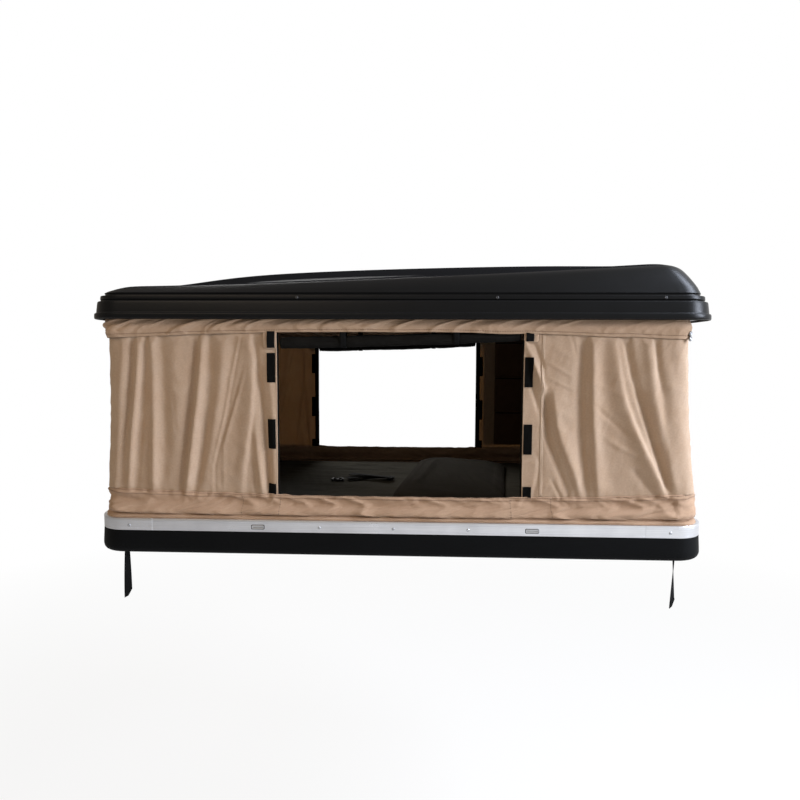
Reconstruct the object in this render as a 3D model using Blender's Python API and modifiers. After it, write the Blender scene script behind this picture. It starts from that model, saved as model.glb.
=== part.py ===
"""Hard shell roof top tent that lifts straight up on a scissor at each short end.

Metres, +Z up. X runs along the vehicle, with the low nose of the lid at -X. Y runs across it,
and the doorway at -Y is the one seen first. The origin is the middle of the plane in which the
two mounting rails rest on the roof bars. The tent stands open, with its lid raised.
"""

import math

import bmesh
import bpy
import numpy as np
from mathutils import Matrix, Vector

COLLECTION = "roof_top_tent"
GAP = 0.0003

# Mounting rails under the base
RAIL_HEIGHT = 0.030
RAIL_WIDTH = 0.050
RAIL_END_INSET = 0.215
RAIL_SPACING = 0.640
RAIL_SLOT = 0.011
RAIL_SLOT_DEPTH = 0.009

# Base tray, with heights from here on measured from its underside
BASE_LENGTH = 2.030
BASE_WIDTH = 1.200
BASE_CORNER = 0.100
BASE_HEIGHT = 0.0786
BASE_WALL = 0.004
BASE_EDGE_RADIUS = 0.030
BASE_DRAFT = 0.003
BASE_RIM = 0.025

# Aluminium band that stands on the rim of the tray
BAND_HEIGHT = 0.040
BAND_WALL = 0.003
BAND_TOP_FLANGE = 0.010
BAND_FOOT = 0.025

# Floor and bedding
FLOOR_THICKNESS = 0.056
FLOOR_EDGE = 0.008
MATTRESS_THICKNESS = 0.073
MATTRESS_SIDE_INSET = 0.080
MATTRESS_CORNER = 0.060
MATTRESS_ROUND = 0.030
MATTRESS_CLEARANCE = 0.006
COVER_LENGTH = 0.420
COVER_WIDTH = 0.860
COVER_HEIGHT = 0.052
COVER_CORNER = 0.100
COVER_SKEW = 0.13
COVER_X = 0.228
COVER_Y = 0.005
WEBBING_X = -0.135
WEBBING_Y = 0.030
WEBBING_WIDTH = 0.025
WEBBING_THICKNESS = 0.002
WEBBING_RUN = 0.190
WEBBING_LAYERS = 5
WEBBING_LOFT = 0.0012
WEBBING_FAN_START = 24.0
WEBBING_FAN_STEP = 13.0
BUCKLE_LENGTH = 0.055
BUCKLE_WIDTH = 0.040
BUCKLE_HEIGHT = 0.011
BUCKLE_OFFSET_X = -0.1375
BUCKLE_OFFSET_Y = -0.035
BUCKLE_EDGE = 0.003

# Lid of the tent, with its lip open at the height that the scissors hold
LIP_OPEN_HEIGHT = 0.781
LIP_OVERHANG = 0.010
LID_WALL = 0.004
BEAD_HEIGHT = 0.018
SKIRT_HEIGHT = 0.057
GROOVE_HEIGHT = 0.022
PANEL_INSET = 0.078
PANEL_SHARE = 0.76
RIDGE_LOW = 0.117
RIDGE_TALL = 0.193
RIDGE_INSET = 0.140
ROOF_CORNER = 0.035
ROOF_TOP = 0.230
ROOF_FALL = 0.055

# Frame inside the lid, and its seal
FRAME_WIDTH = 0.030
FRAME_HEIGHT = 0.020
FRAME_WALL = 0.003
FRAME_DROP = 0.005
SEAL_RADIUS = 0.003
CROSS_DEPTH = 0.065
CROSS_DROP = 0.018
CROSS_CORNER = 0.030
CROSS_WALL = 0.003
CROSS_MARGIN = 0.002
LINER_THICKNESS = 0.006

# Scissors, from the outer channel inwards
LIP_SHUT_GAP = 0.002
SCISSOR_INSET = 0.075
ARM_WIDTH = 0.025
ARM_THICKNESS = 0.006
ARM_SPACING = 0.001
PIVOT_INSET = 0.110
SHUT_ROLLER_INSET = 0.090
PIN_RADIUS = 0.005
PIN_HEAD = 0.009
PIN_HEAD_HEIGHT = 0.003
PIN_TAIL = 0.0015
AXLE_RADIUS = 0.004
ROLLER_RADIUS = 0.0125
ROLLER_WIDTH = 0.014
ROLLER_PLAY = 0.0005
ROLLER_SIDE_PLAY = 0.003
ROLLER_STANDOFF = 0.007
CHANNEL_WALL = 0.003
CHANNEL_DEPTH = 0.024
CHANNEL_CLEARANCE = 0.002
CHANNEL_END_PLAY = 0.020
BRACKET_THICKNESS = 0.004
BRACKET_CLEARANCE = 0.0005
BRACKET_EYE_RADIUS = 0.011
BRACKET_FOOT = 0.020
BRACKET_FOOT_MARGIN = 0.004

# Gas struts
STRUT_BASE_INSET = 0.300
STRUT_ARM_REACH = 0.250
STRUT_RADIUS = 0.0095
STRUT_EYE_RADIUS = 0.009
STRUT_EYE_THICKNESS = 0.006
ROD_RADIUS = 0.004
ROD_INSIDE_LENGTH = 0.130
ROD_SHOWN_LENGTH = 0.159
STRUT_NECK_LENGTH = 0.028
STRUT_SHOULDER = 0.004
STRUT_EYE_LAP = 0.004
STRUT_CLEARANCE = 0.005
STRUT_SIDE_PLAY = 0.001

# Canvas
CANVAS = 0.0016
CANVAS_END_INSET = 0.023
CANVAS_TOP_INSET_LOW = 0.033
CANVAS_TOP_INSET_TALL = 0.061
CANVAS_SIDE_INSET = 0.035
CANVAS_CORNER = 0.055
CANVAS_DRAW_IN = 0.004
CORNER_LAP = 0.004
SEAM_GAP = 0.0008
HEM_CLEARANCE = 0.003
FOLD_TOP = 0.86
SILL_HEIGHT = 0.196
SILL_CORNER_RISE = 0.020
VALANCE_INSET = 0.0265
VALANCE_BELLY = 0.004
HEADER_HEIGHT = 0.740
HEADER_CORNER_DROP = 0.024
DOOR_WIDTH = 0.810
DOOR_X_NEAR = 0.010
DOOR_X_FAR = -0.048
WALL_TOP_LAP = 0.020

# Things on the canvas
ROLL_RADIUS = 0.021
ROLL_LOW_END = 0.704
ROLL_HIGH_END = 0.731
TIE_WIDTH = 0.020
TIE_THICKNESS = 0.002
TIE_EASE = 0.0008
TIE_X = 0.185
ROLL_PINCH = 0.80
ROLL_SAG = 0.003
ROLL_END_MARGIN = 0.012
ORGANISER_MARGIN = 0.035
ORGANISER_WIDTH = 0.440
ORGANISER_TOP = 0.744
ORGANISER_BOTTOM = 0.215
POCKET_CLOTH = 0.002
POCKET_DEPTH = 0.012
POCKET_ROWS = 3

# Closing straps that hang from the base
STRAP_END_INSET = 0.099
STRAP_SIDE_INSET = 0.040
STRAP_DROP = 0.165
STRAP_TURN_TOP = 1.40
STRAP_TURN_END = 0.55
STRAP_POINT = 0.030

# Colour, roughness and metallic value of each finish
FINISHES = {
    "lid_abs": ((0.018, 0.019, 0.021), 0.38, 0.0),
    "base_abs": ((0.016, 0.017, 0.018), 0.50, 0.0),
    "aluminium": ((0.62, 0.63, 0.65), 0.32, 1.0),
    "steel": ((0.48, 0.48, 0.50), 0.36, 1.0),
    "black_steel": ((0.03, 0.03, 0.03), 0.42, 0.6),
    "canvas": ((0.40, 0.29, 0.20), 0.90, 0.0),
    "canvas_band": ((0.37, 0.27, 0.19), 0.90, 0.0),
    "door_cloth": ((0.045, 0.045, 0.036), 0.92, 0.0),
    "bedding": ((0.10, 0.095, 0.075), 0.92, 0.0),
    "webbing": ((0.02, 0.02, 0.02), 0.80, 0.0),
    "floor": ((0.20, 0.20, 0.19), 0.70, 0.0),
    "rubber": ((0.02, 0.02, 0.02), 0.70, 0.0),
    "nylon": ((0.75, 0.74, 0.70), 0.45, 0.0),
    "liner": ((0.30, 0.29, 0.27), 0.95, 0.0),
    "organiser": ((0.16, 0.13, 0.10), 0.92, 0.0),
}

# Places that follow from the sizes above
BASE_Z = RAIL_HEIGHT + GAP
HALF_LENGTH = BASE_LENGTH / 2
HALF_WIDTH = BASE_WIDTH / 2
RAIL_LENGTH = BASE_LENGTH - 2 * RAIL_END_INSET
BAND_INSET = BASE_DRAFT
BAND_Z = BASE_Z + BASE_HEIGHT + GAP
BAND_TOP = BAND_Z + BAND_HEIGHT
FLOOR_Z = BASE_Z + BASE_WALL + GAP
FLOOR_TOP = FLOOR_Z + FLOOR_THICKNESS
MATTRESS_Z = FLOOR_TOP + GAP
MATTRESS_TOP = MATTRESS_Z + MATTRESS_THICKNESS
MATTRESS_WIDTH = BASE_WIDTH - 2 * MATTRESS_SIDE_INSET
LIP_Z = BASE_Z + LIP_OPEN_HEIGHT
FRAME_Z = LIP_Z + FRAME_DROP
CHANNEL_HALF = ROLLER_RADIUS + ROLLER_PLAY + CHANNEL_WALL
PIVOT_LOW = FLOOR_TOP + GAP + CHANNEL_HALF
CROSS_Z = FRAME_Z - CROSS_DROP
PIVOT_HIGH = CROSS_Z - GAP - CHANNEL_HALF
LIFT_TRAVEL = LIP_Z - BAND_TOP - LIP_SHUT_GAP
SCISSOR_X = HALF_LENGTH - SCISSOR_INSET
PIVOT_Y = PIVOT_INSET - HALF_WIDTH
ARM_LENGTH = BASE_WIDTH - PIVOT_INSET - SHUT_ROLLER_INSET
ARM_RISE = PIVOT_HIGH - PIVOT_LOW
OPEN_ANGLE = math.asin(ARM_RISE / ARM_LENGTH)
SHUT_ANGLE = math.asin((ARM_RISE - LIFT_TRAVEL) / ARM_LENGTH)
SLIDE_OPEN = PIVOT_Y + ARM_LENGTH * math.cos(OPEN_ANGLE)
SLIDE_SHUT = PIVOT_Y + ARM_LENGTH * math.cos(SHUT_ANGLE)

# Distances of the layers of one scissor inwards from its outer channel's back
ROLLER_OUT = SCISSOR_X - CHANNEL_WALL - ROLLER_SIDE_PLAY
ARM_B_X = SCISSOR_X - CHANNEL_DEPTH - CHANNEL_CLEARANCE - ARM_THICKNESS / 2
ARM_A_X = ARM_B_X - ARM_THICKNESS - ARM_SPACING
ROLLER_IN = ARM_A_X - ARM_THICKNESS / 2 - ROLLER_STANDOFF - ROLLER_WIDTH
CHANNEL_IN = ROLLER_IN - ROLLER_SIDE_PLAY - CHANNEL_WALL
STRUT_X = CHANNEL_IN - STRUT_CLEARANCE - STRUT_RADIUS
STRUT_PLATE_X = STRUT_X - STRUT_EYE_THICKNESS / 2 - STRUT_SIDE_PLAY - BRACKET_THICKNESS
STRUT_BASE_Y = HALF_WIDTH - STRUT_BASE_INSET
MATTRESS_LENGTH = 2 * (STRUT_PLATE_X - MATTRESS_CLEARANCE)
CANVAS_LOW_REACH = HALF_LENGTH - CANVAS_END_INSET
CANVAS_TOP_LEFT = HALF_LENGTH - CANVAS_TOP_INSET_LOW
CANVAS_TOP_RIGHT = HALF_LENGTH - CANVAS_TOP_INSET_TALL
CANVAS_SIDE_REACH = HALF_WIDTH - CANVAS_SIDE_INSET
CORNER_X = CANVAS_TOP_RIGHT - CANVAS_CORNER - CORNER_LAP
SIDE_END_X = CORNER_X - SEAM_GAP
STRAP_X = HALF_LENGTH - STRAP_END_INSET
STRAP_Y = HALF_WIDTH - STRAP_SIDE_INSET
ENDS = (("low", -1), ("tall", 1))


def new_collection(name):
    collection = bpy.data.collections.new(name)
    bpy.context.scene.collection.children.link(collection)
    return collection


def clear_scene():
    for obj in list(bpy.data.objects):
        bpy.data.objects.remove(obj, do_unlink=True)


def finish(name, key):
    """A Principled material of its own for one sub-part."""
    colour, roughness, metallic = FINISHES[key]
    material = bpy.data.materials.new(name)
    material.use_nodes = True
    shader = material.node_tree.nodes["Principled BSDF"]
    shader.inputs["Base Color"].default_value = (*colour, 1.0)
    shader.inputs["Roughness"].default_value = roughness
    shader.inputs["Metallic"].default_value = metallic
    return material


def add_object(name, data, key, origin=(0, 0, 0), parent=None, helper=False):
    """Links an object whose data is in world places, with its origin moved to origin."""
    data.transform(Matrix.Translation(-Vector(origin)))
    obj = bpy.data.objects.new(name, data)
    (CUTTERS if helper else PARTS).objects.link(obj)
    obj.location = origin
    if parent is not None:
        obj.parent = parent
        obj.location = Vector(origin) - world_place(parent)
    if helper:
        obj.hide_render = True
        obj.display_type = "WIRE"
    else:
        data.materials.append(finish(name, key))
    return obj


def world_place(empty):
    place = Vector(empty.location)
    while empty.parent is not None:
        empty = empty.parent
        place += empty.location
    return place


def joint_empty(name, place, parent=None):
    """An empty on a joint's axis, which carries the pieces that turn or slide there."""
    empty = bpy.data.objects.new(name, None)
    empty.empty_display_size = 0.03
    PARTS.objects.link(empty)
    empty.location = place
    if parent is not None:
        empty.location = Vector(place) - world_place(parent)
        empty.parent = parent
    return empty


def mesh_from(name, points, faces, closed=True):
    mesh = bpy.data.meshes.new(name)
    mesh.from_pydata([tuple(p) for p in points], [], faces)
    if closed:
        work = bmesh.new()
        work.from_mesh(mesh)
        bmesh.ops.recalc_face_normals(work, faces=work.faces)
        work.to_mesh(mesh)
        work.free()
    mesh.validate()
    return mesh


def smooth(obj, degrees=35):
    obj.data.shade_smooth()
    obj.data.set_sharp_from_angle(angle=math.radians(degrees))
    return obj


def outline(half_x, half_y, radius, corner_steps=5, x_steps=1, y_steps=1):
    """Points round a rounded rectangle, anticlockwise from above, and their outward normals."""
    points, normals = [], []
    sides = ((1, -1, y_steps), (1, 1, x_steps), (-1, 1, y_steps), (-1, -1, x_steps))
    for turn, (sx, sy, steps) in enumerate(sides):
        centre = np.array([sx * (half_x - radius), sy * (half_y - radius)])
        for angle in np.linspace(0, math.pi / 2, corner_steps + 1) + (turn - 1) * math.pi / 2:
            normal = np.array([math.cos(angle), math.sin(angle)])
            points.append(centre + radius * normal)
            normals.append(normal)
        following = sides[(turn + 1) % 4]
        target = np.array([following[0] * (half_x - radius), following[1] * (half_y - radius)])
        target = target + radius * normals[-1]
        for share in np.arange(1, steps) / steps:
            points.append((centre + radius * normals[-1]) * (1 - share) + target * share)
            normals.append(normals[-1])
    return np.array(points), np.array(normals)


def ring_faces(rows, columns, wrap_rows):
    """Quads between successive loops of points, each loop closed on itself."""
    faces = []
    for i in range(rows if wrap_rows else rows - 1):
        above, below = i * columns, ((i + 1) % rows) * columns
        for j in range(columns):
            k = (j + 1) % columns
            faces.append((above + j, below + j, below + k, above + k))
    return faces


def ring(name, key, half_x, half_y, radius, profile, **place):
    """A closed profile of (outset, height) carried round a rounded rectangle."""
    plan, normals = outline(half_x, half_y, radius)
    rows = [np.column_stack([plan + normals * out, np.full(len(plan), z)]) for out, z in profile]
    faces = ring_faces(len(rows), len(plan), True)
    return add_object(name, mesh_from(name, np.concatenate(rows), faces), key, **place)


def stack(name, loops, top_pole=None, top_cap=False, bottom_cap=False):
    """A skin over loops that are listed from the top down, with a pole or a flat cap at its ends."""
    columns = len(loops[0])
    points = np.concatenate(loops)
    faces = ring_faces(len(loops), columns, False)
    last = (len(loops) - 1) * columns
    if top_pole is not None:
        points = np.concatenate([points, [top_pole]])
        pole = len(points) - 1
        faces += [(pole, j, (j + 1) % columns) for j in range(columns)]
    if top_cap:
        faces.append(tuple(range(columns)))
    if bottom_cap:
        faces.append(tuple(last + j for j in reversed(range(columns))))
    return mesh_from(name, points, faces, closed=False)


def slab(name, key, half_x, half_y, radius, low, high, **place):
    """A flat panel with rounded corners between two heights."""
    plan, _ = outline(half_x, half_y, radius)
    loops = [np.column_stack([plan, np.full(len(plan), z)]) for z in (high, low)]
    return add_object(name, stack(name, loops, top_cap=True, bottom_cap=True), key, **place)


def solidify(obj, thickness, offset=-1.0):
    modifier = obj.modifiers.new("wall", "SOLIDIFY")
    modifier.thickness = thickness
    modifier.offset = offset
    return obj


def box(name, key, low, high, bevel=0.0, **place):
    """A box between two corners, with its edges rounded."""
    work = bmesh.new()
    bmesh.ops.create_cube(work, size=1.0)
    low, high = Vector(low), Vector(high)
    bmesh.ops.scale(work, vec=high - low, verts=work.verts)
    bmesh.ops.translate(work, vec=(low + high) / 2, verts=work.verts)
    mesh = bpy.data.meshes.new(name)
    work.to_mesh(mesh)
    work.free()
    obj = add_object(name, mesh, key, **place)
    if bevel:
        modifier = obj.modifiers.new("edges", "BEVEL")
        modifier.width = bevel
        modifier.segments = 2
    return obj


def turned(name, key, profile, start, axis, steps=20, **place):
    """A turned piece: (radius, distance along the axis) from the far end back to the start."""
    work = bmesh.new()
    corners = [work.verts.new((radius, 0.0, along)) for radius, along in profile]
    for first, second in zip(corners, corners[1:]):
        work.edges.new((first, second))
    mesh = bpy.data.meshes.new(name)
    work.to_mesh(mesh)
    work.free()
    turn = Vector((0, 0, 1)).rotation_difference(Vector(axis)).to_matrix().to_4x4()
    obj = bpy.data.objects.new(name + "_profile", mesh)
    PARTS.objects.link(obj)
    screw = obj.modifiers.new("turn", "SCREW")
    screw.steps = steps
    screw.render_steps = steps
    screw.use_merge_vertices = True
    screw.merge_threshold = 0.0001
    solid = bpy.data.meshes.new_from_object(obj.evaluated_get(bpy.context.evaluated_depsgraph_get()))
    bpy.data.objects.remove(obj, do_unlink=True)
    solid.name = name
    solid.transform(Matrix.Translation(Vector(start)) @ turn)
    work = bmesh.new()
    work.from_mesh(solid)
    bmesh.ops.remove_doubles(work, verts=work.verts, dist=1e-6)
    bmesh.ops.recalc_face_normals(work, faces=work.faces)
    work.to_mesh(solid)
    work.free()
    return smooth(add_object(name, solid, key, **place))


def circle_points(centre, radius, steps=16, start=0.0, sweep=2 * math.pi, closed=True):
    angles = start + sweep * np.arange(steps if closed else steps + 1) / steps
    return [(centre[0] + radius * math.cos(a), centre[1] + radius * math.sin(a)) for a in angles]


def plate(name, key, x, thickness, outer, holes=(), **place):
    """A flat plate in a plane of constant X: a filled outline in (Y, Z) with holes, extruded."""
    curve = bpy.data.curves.new(name, "CURVE")
    curve.dimensions = "2D"
    curve.fill_mode = "BOTH"
    curve.extrude = thickness / 2
    for loop in (outer, *holes):
        spline = curve.splines.new("POLY")
        spline.points.add(len(loop) - 1)
        for point, (y, z) in zip(spline.points, loop):
            point.co = (y, z, 0.0, 1.0)
        spline.use_cyclic_u = True
    flat = bpy.data.objects.new(name + "_flat", curve)
    PARTS.objects.link(flat)
    graph = bpy.context.evaluated_depsgraph_get()
    solid = bpy.data.meshes.new_from_object(flat.evaluated_get(graph))
    bpy.data.objects.remove(flat, do_unlink=True)
    solid.name = name
    upright = Matrix(((0, 0, 1, x), (1, 0, 0, 0), (0, 1, 0, 0), (0, 0, 0, 1)))
    solid.transform(upright)
    work = bmesh.new()
    work.from_mesh(solid)
    bmesh.ops.remove_doubles(work, verts=work.verts, dist=1e-6)
    bmesh.ops.recalc_face_normals(work, faces=work.faces)
    work.to_mesh(solid)
    work.free()
    return add_object(name, solid, key, **place)


def joined(obj, *others):
    """Boolean unions of a piece with helpers that share its body."""
    for helper in others:
        modifier = obj.modifiers.new("join", "BOOLEAN")
        modifier.operation = "UNION"
        modifier.solver = "EXACT"
        modifier.object = helper
    return obj


def cloth(name, key, rows, thickness=CANVAS, closed_loop=False, offset=0.0, **place):
    """A sheet of cloth on a grid of points, rows by columns, given its thickness."""
    count, columns = rows.shape[:2]
    faces = []
    for i in range(count - 1):
        for j in range(columns if closed_loop else columns - 1):
            k = (j + 1) % columns
            faces.append((i * columns + j, (i + 1) * columns + j, (i + 1) * columns + k, i * columns + k))
    mesh = mesh_from(name, rows.reshape(-1, 3), faces, closed=False)
    return smooth(solidify(add_object(name, mesh, key, **place), thickness, offset), 60)


def rails():
    """Two extruded rails under the base, each with a bolt slot in its underside."""
    half, slot = RAIL_WIDTH / 2, RAIL_SLOT / 2
    for name, side in (("rail_near", -1), ("rail_far", 1)):
        y = side * RAIL_SPACING / 2
        section = [
            (-half, 0), (-slot, 0), (-slot, RAIL_SLOT_DEPTH), (slot, RAIL_SLOT_DEPTH), (slot, 0), (half, 0),
            (half, RAIL_HEIGHT), (-half, RAIL_HEIGHT),
        ]
        curve = [(across + y, z) for across, z in section]
        plate(name, "aluminium", 0.0, RAIL_LENGTH, curve)


def base_shell():
    """The moulded tray: an inward rim, a side with a little draft and a rounded bottom edge."""
    def loop(inset, height):
        plan, _ = outline(HALF_LENGTH - inset, HALF_WIDTH - inset, BASE_CORNER - min(inset, 0.06))
        return np.column_stack([plan, np.full(len(plan), BASE_Z + height)])
    loops = [loop(BASE_DRAFT + BASE_RIM, BASE_HEIGHT), loop(BASE_DRAFT, BASE_HEIGHT)]
    for angle in np.linspace(0, math.pi / 2, 5):
        inset = BASE_EDGE_RADIUS * (1 - math.cos(angle))
        loops.append(loop(inset, BASE_EDGE_RADIUS * (1 - math.sin(angle))))
    mesh = stack("base_shell", loops, bottom_cap=True)
    return smooth(solidify(add_object("base_shell", mesh, "base_abs"), BASE_WALL))


def base_band():
    """The aluminium extrusion round the rim, with a foot and a flange that covers the canvas hem."""
    wall, top = BAND_WALL, BAND_TOP
    profile = [
        (0, BAND_Z), (0, top), (-BAND_TOP_FLANGE, top), (-BAND_TOP_FLANGE, top - wall), (-wall, top - wall),
        (-wall, BAND_Z + wall), (-BAND_FOOT, BAND_Z + wall), (-BAND_FOOT, BAND_Z),
    ]
    size = (HALF_LENGTH - BAND_INSET, HALF_WIDTH - BAND_INSET, BASE_CORNER - BAND_INSET)
    return ring("base_band", "aluminium", *size, profile)


def floor_and_bedding():
    """The floor inside the tray, and what lies on it."""
    edge = BASE_EDGE_RADIUS + FLOOR_EDGE
    size = (HALF_LENGTH - edge, HALF_WIDTH - edge, BASE_CORNER - edge)
    slab("floor_panel", "floor", *size, FLOOR_Z, FLOOR_TOP)
    mattress()
    folded_cover()
    webbing_heap()


def mattress():
    """A foam mattress: sides that round out at mid height and a top that rolls over at its edges."""
    half_x, half_y = MATTRESS_LENGTH / 2, MATTRESS_WIDTH / 2
    side = MATTRESS_ROUND
    shape = [
        (3 * side, 1.0), (side, 0.985), (0.4 * side, 0.90), (0.0, 0.62), (0.0, 0.38), (0.35 * side, 0.1),
        (side, 0.0),
    ]
    loops = []
    for inset, share in shape:
        plan, _ = outline(half_x - inset, half_y - inset, MATTRESS_CORNER, corner_steps=4)
        loops.append(np.column_stack([plan, np.full(len(plan), MATTRESS_Z + share * MATTRESS_THICKNESS)]))
    mesh = stack("mattress", loops, top_cap=True, bottom_cap=True)
    return smooth(add_object("mattress", mesh, "bedding"), 60)


def folded_cover():
    """The bedding cover, folded over itself in a soft lump on the mattress."""
    shape = [(0.42, 1.0), (0.72, 0.90), (0.92, 0.62), (1.0, 0.30), (0.97, 0.06), (0.90, 0.0)]
    plan, _ = outline(COVER_LENGTH / 2, COVER_WIDTH / 2, COVER_CORNER, corner_steps=4, x_steps=3)
    lean = 0.75 + 0.25 * np.cos(2.2 * plan[:, 0] / COVER_LENGTH + 0.9)
    plan = plan + plan[:, 1:] * (COVER_SKEW, 0.0)
    loops = []
    for scale, share in shape:
        height = MATTRESS_TOP + GAP + share * COVER_HEIGHT * lean
        loops.append(np.column_stack([plan * scale + (COVER_X, COVER_Y), height]))
    mesh = stack("folded_cover", loops, top_cap=True, bottom_cap=True)
    work = bmesh.new()
    work.from_mesh(mesh)
    bmesh.ops.triangulate(work, faces=[f for f in work.faces if len(f.verts) > 4])
    work.to_mesh(mesh)
    work.free()
    return smooth(add_object("folded_cover", mesh, "bedding"), 60)


def webbing_heap():
    """Spare webbing folded back and forth on the mattress, and its buckle."""
    rise = WEBBING_THICKNESS + WEBBING_LOFT
    path = []
    for leg in range(WEBBING_LAYERS):
        ends = (-0.5, 0.5) if leg % 2 == 0 else (0.5, -0.5)
        fan = math.radians(WEBBING_FAN_START - WEBBING_FAN_STEP * leg)
        for share in np.linspace(*ends, 6):
            climb = leg + 0.5 + (share if leg % 2 == 0 else -share)
            x = WEBBING_X + WEBBING_RUN * share * math.cos(fan)
            y = WEBBING_Y + WEBBING_RUN * share * math.sin(fan)
            path.append((x, y, MATTRESS_TOP + GAP + WEBBING_THICKNESS / 2 + rise * climb))
    path = np.array(path)
    across = np.array([0.3, 1.0, 0.0]) / math.hypot(0.3, 1.0) * WEBBING_WIDTH / 2
    rows = np.stack([path - across, path + across], axis=1)
    cloth("webbing_heap", "webbing", rows, thickness=WEBBING_THICKNESS)
    middle = np.array([WEBBING_X + BUCKLE_OFFSET_X, WEBBING_Y + BUCKLE_OFFSET_Y])
    half = np.array([BUCKLE_LENGTH, BUCKLE_WIDTH]) / 2
    low = (*(middle - half), MATTRESS_TOP + GAP)
    high = (*(middle + half), MATTRESS_TOP + GAP + BUCKLE_HEIGHT)
    box("webbing_buckle", "webbing", low, high, bevel=BUCKLE_EDGE)


def ridge_height(x):
    """Height of the lid's shoulder above the lip: it climbs slowly from the nose and faster after."""
    half = HALF_LENGTH - RIDGE_INSET
    share = np.clip((np.asarray(x) + half) / (2 * half), 0, 1)
    return RIDGE_LOW + (RIDGE_TALL - RIDGE_LOW) * share**1.3


def roof_height(x, y):
    """Height of the crowned roof above the lip, inside the shoulder."""
    half_x, half_y = HALF_LENGTH - RIDGE_INSET, HALF_WIDTH - RIDGE_INSET
    share_x, share_y = np.clip(np.abs(x) / half_x, 0, 1), np.clip(np.abs(y) / half_y, 0, 1)
    middle = ROOF_TOP - ROOF_FALL * (0.5 - np.asarray(x) / (2 * half_x)) ** 3
    low = ridge_height(x)
    return low + (middle - low) * (1 - share_x**7) * (1 - share_y**2.4)


def lid_loop(inset, height):
    """One loop of the lid, at an inset from the bead; height is above the lip or a function of x."""
    out = LIP_OVERHANG - inset
    corner = max(BASE_CORNER + out, ROOF_CORNER)
    plan, _ = outline(HALF_LENGTH + out, HALF_WIDTH + out, corner, 5, 7, 3)
    rise = height(plan[:, 0]) if callable(height) else np.full(len(plan), height)
    return np.column_stack([plan, LIP_Z + rise])


def lid_levels():
    """(inset, height) up the side of the lid, from the lip's edge to the foot of its top panels."""
    top_of_groove = SKIRT_HEIGHT + GROOVE_HEIGHT
    return [
        (0.005, 0.0), (0.0, 0.004), (0.0, BEAD_HEIGHT), (0.006, BEAD_HEIGHT + 0.006), (0.011, SKIRT_HEIGHT),
        (0.020, SKIRT_HEIGHT + 0.005), (0.023, top_of_groove), (0.033, top_of_groove + 0.007),
    ]


def lid_shell():
    """The moulded lid: bead, skirt, groove, sloping side panels, shoulder and a crowned roof."""
    side = [lid_loop(inset, height) for inset, height in lid_levels()]
    foot = lid_levels()[-1][1]

    def panel(share):
        return lambda x: foot + (ridge_height(x) - foot) * share

    side.append(lid_loop(PANEL_INSET, panel(PANEL_SHARE)))
    side.append(lid_loop((PANEL_INSET + RIDGE_INSET) / 2, panel((1 + PANEL_SHARE) / 2 + 0.05)))
    side.append(lid_loop(RIDGE_INSET, ridge_height))
    roof = []
    for scale in (0.97, 0.86, 0.70, 0.46, 0.20):
        plan = side[-1][:, :2] * scale
        roof.append(np.column_stack([plan, LIP_Z + roof_height(*plan.T)]))
    pole = (0.0, 0.0, LIP_Z + float(roof_height(0.0, 0.0)))
    mesh = stack("lid_shell", (side + roof)[::-1], top_pole=pole)
    return smooth(solidify(add_object("lid_shell", mesh, "lid_abs", parent=LID), LID_WALL), 40)


def frame_size():
    """Half length, half width and corner of the frame's outer face, just inside the lid's skirt."""
    levels = lid_levels()
    (low_inset, low), (high_inset, high) = levels[3], levels[4]
    share = max(0.0, (FRAME_DROP + FRAME_HEIGHT - low) / (high - low))
    inset = low_inset + (high_inset - low_inset) * share + LID_WALL + GAP - LIP_OVERHANG
    return HALF_LENGTH - inset, HALF_WIDTH - inset, BASE_CORNER - inset


def lid_frame():
    """The angle frame in the lid, the seal under it, the liner above it and the pans across it."""
    half_x, half_y, corner = frame_size()
    low, high, wall = FRAME_Z, FRAME_Z + FRAME_HEIGHT, FRAME_WALL
    angle_profile = [
        (0, low), (0, high), (-wall, high), (-wall, low + wall),
        (-FRAME_WIDTH, low + wall), (-FRAME_WIDTH, low),
    ]
    ring("lid_frame", "aluminium", half_x, half_y, corner, angle_profile, parent=LID)
    bulb = []
    for angle in np.linspace(0, 2 * math.pi, 8, endpoint=False):
        across = SEAL_RADIUS * math.cos(angle) - FRAME_WIDTH / 3
        bulb.append((across, FRAME_Z - GAP - SEAL_RADIUS + SEAL_RADIUS * math.sin(angle)))
    ring("lip_seal", "rubber", half_x, half_y, corner, bulb, parent=LID)
    inset = lid_levels()[6][0] + LID_WALL - GAP - LIP_OVERHANG
    liner_z = LIP_Z + SKIRT_HEIGHT + GROOVE_HEIGHT / 2
    size = (HALF_LENGTH - inset, HALF_WIDTH - inset, BASE_CORNER - inset)
    slab("roof_liner", "liner", *size, liner_z, liner_z + LINER_THICKNESS, parent=LID)
    for name, side in ENDS:
        plan, _ = outline(CROSS_DEPTH / 2, half_y - FRAME_WIDTH - GAP, CROSS_CORNER)
        plan = plan + (side * (CHANNEL_IN - CROSS_MARGIN + CROSS_DEPTH / 2), 0.0)
        loops = [np.column_stack([plan, np.full(len(plan), z)]) for z in (high, CROSS_Z)]
        label = f"cross_member_{name}"
        pan = add_object(label, stack(label, loops, bottom_cap=True), "aluminium", parent=LID)
        solidify(pan, CROSS_WALL)


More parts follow.
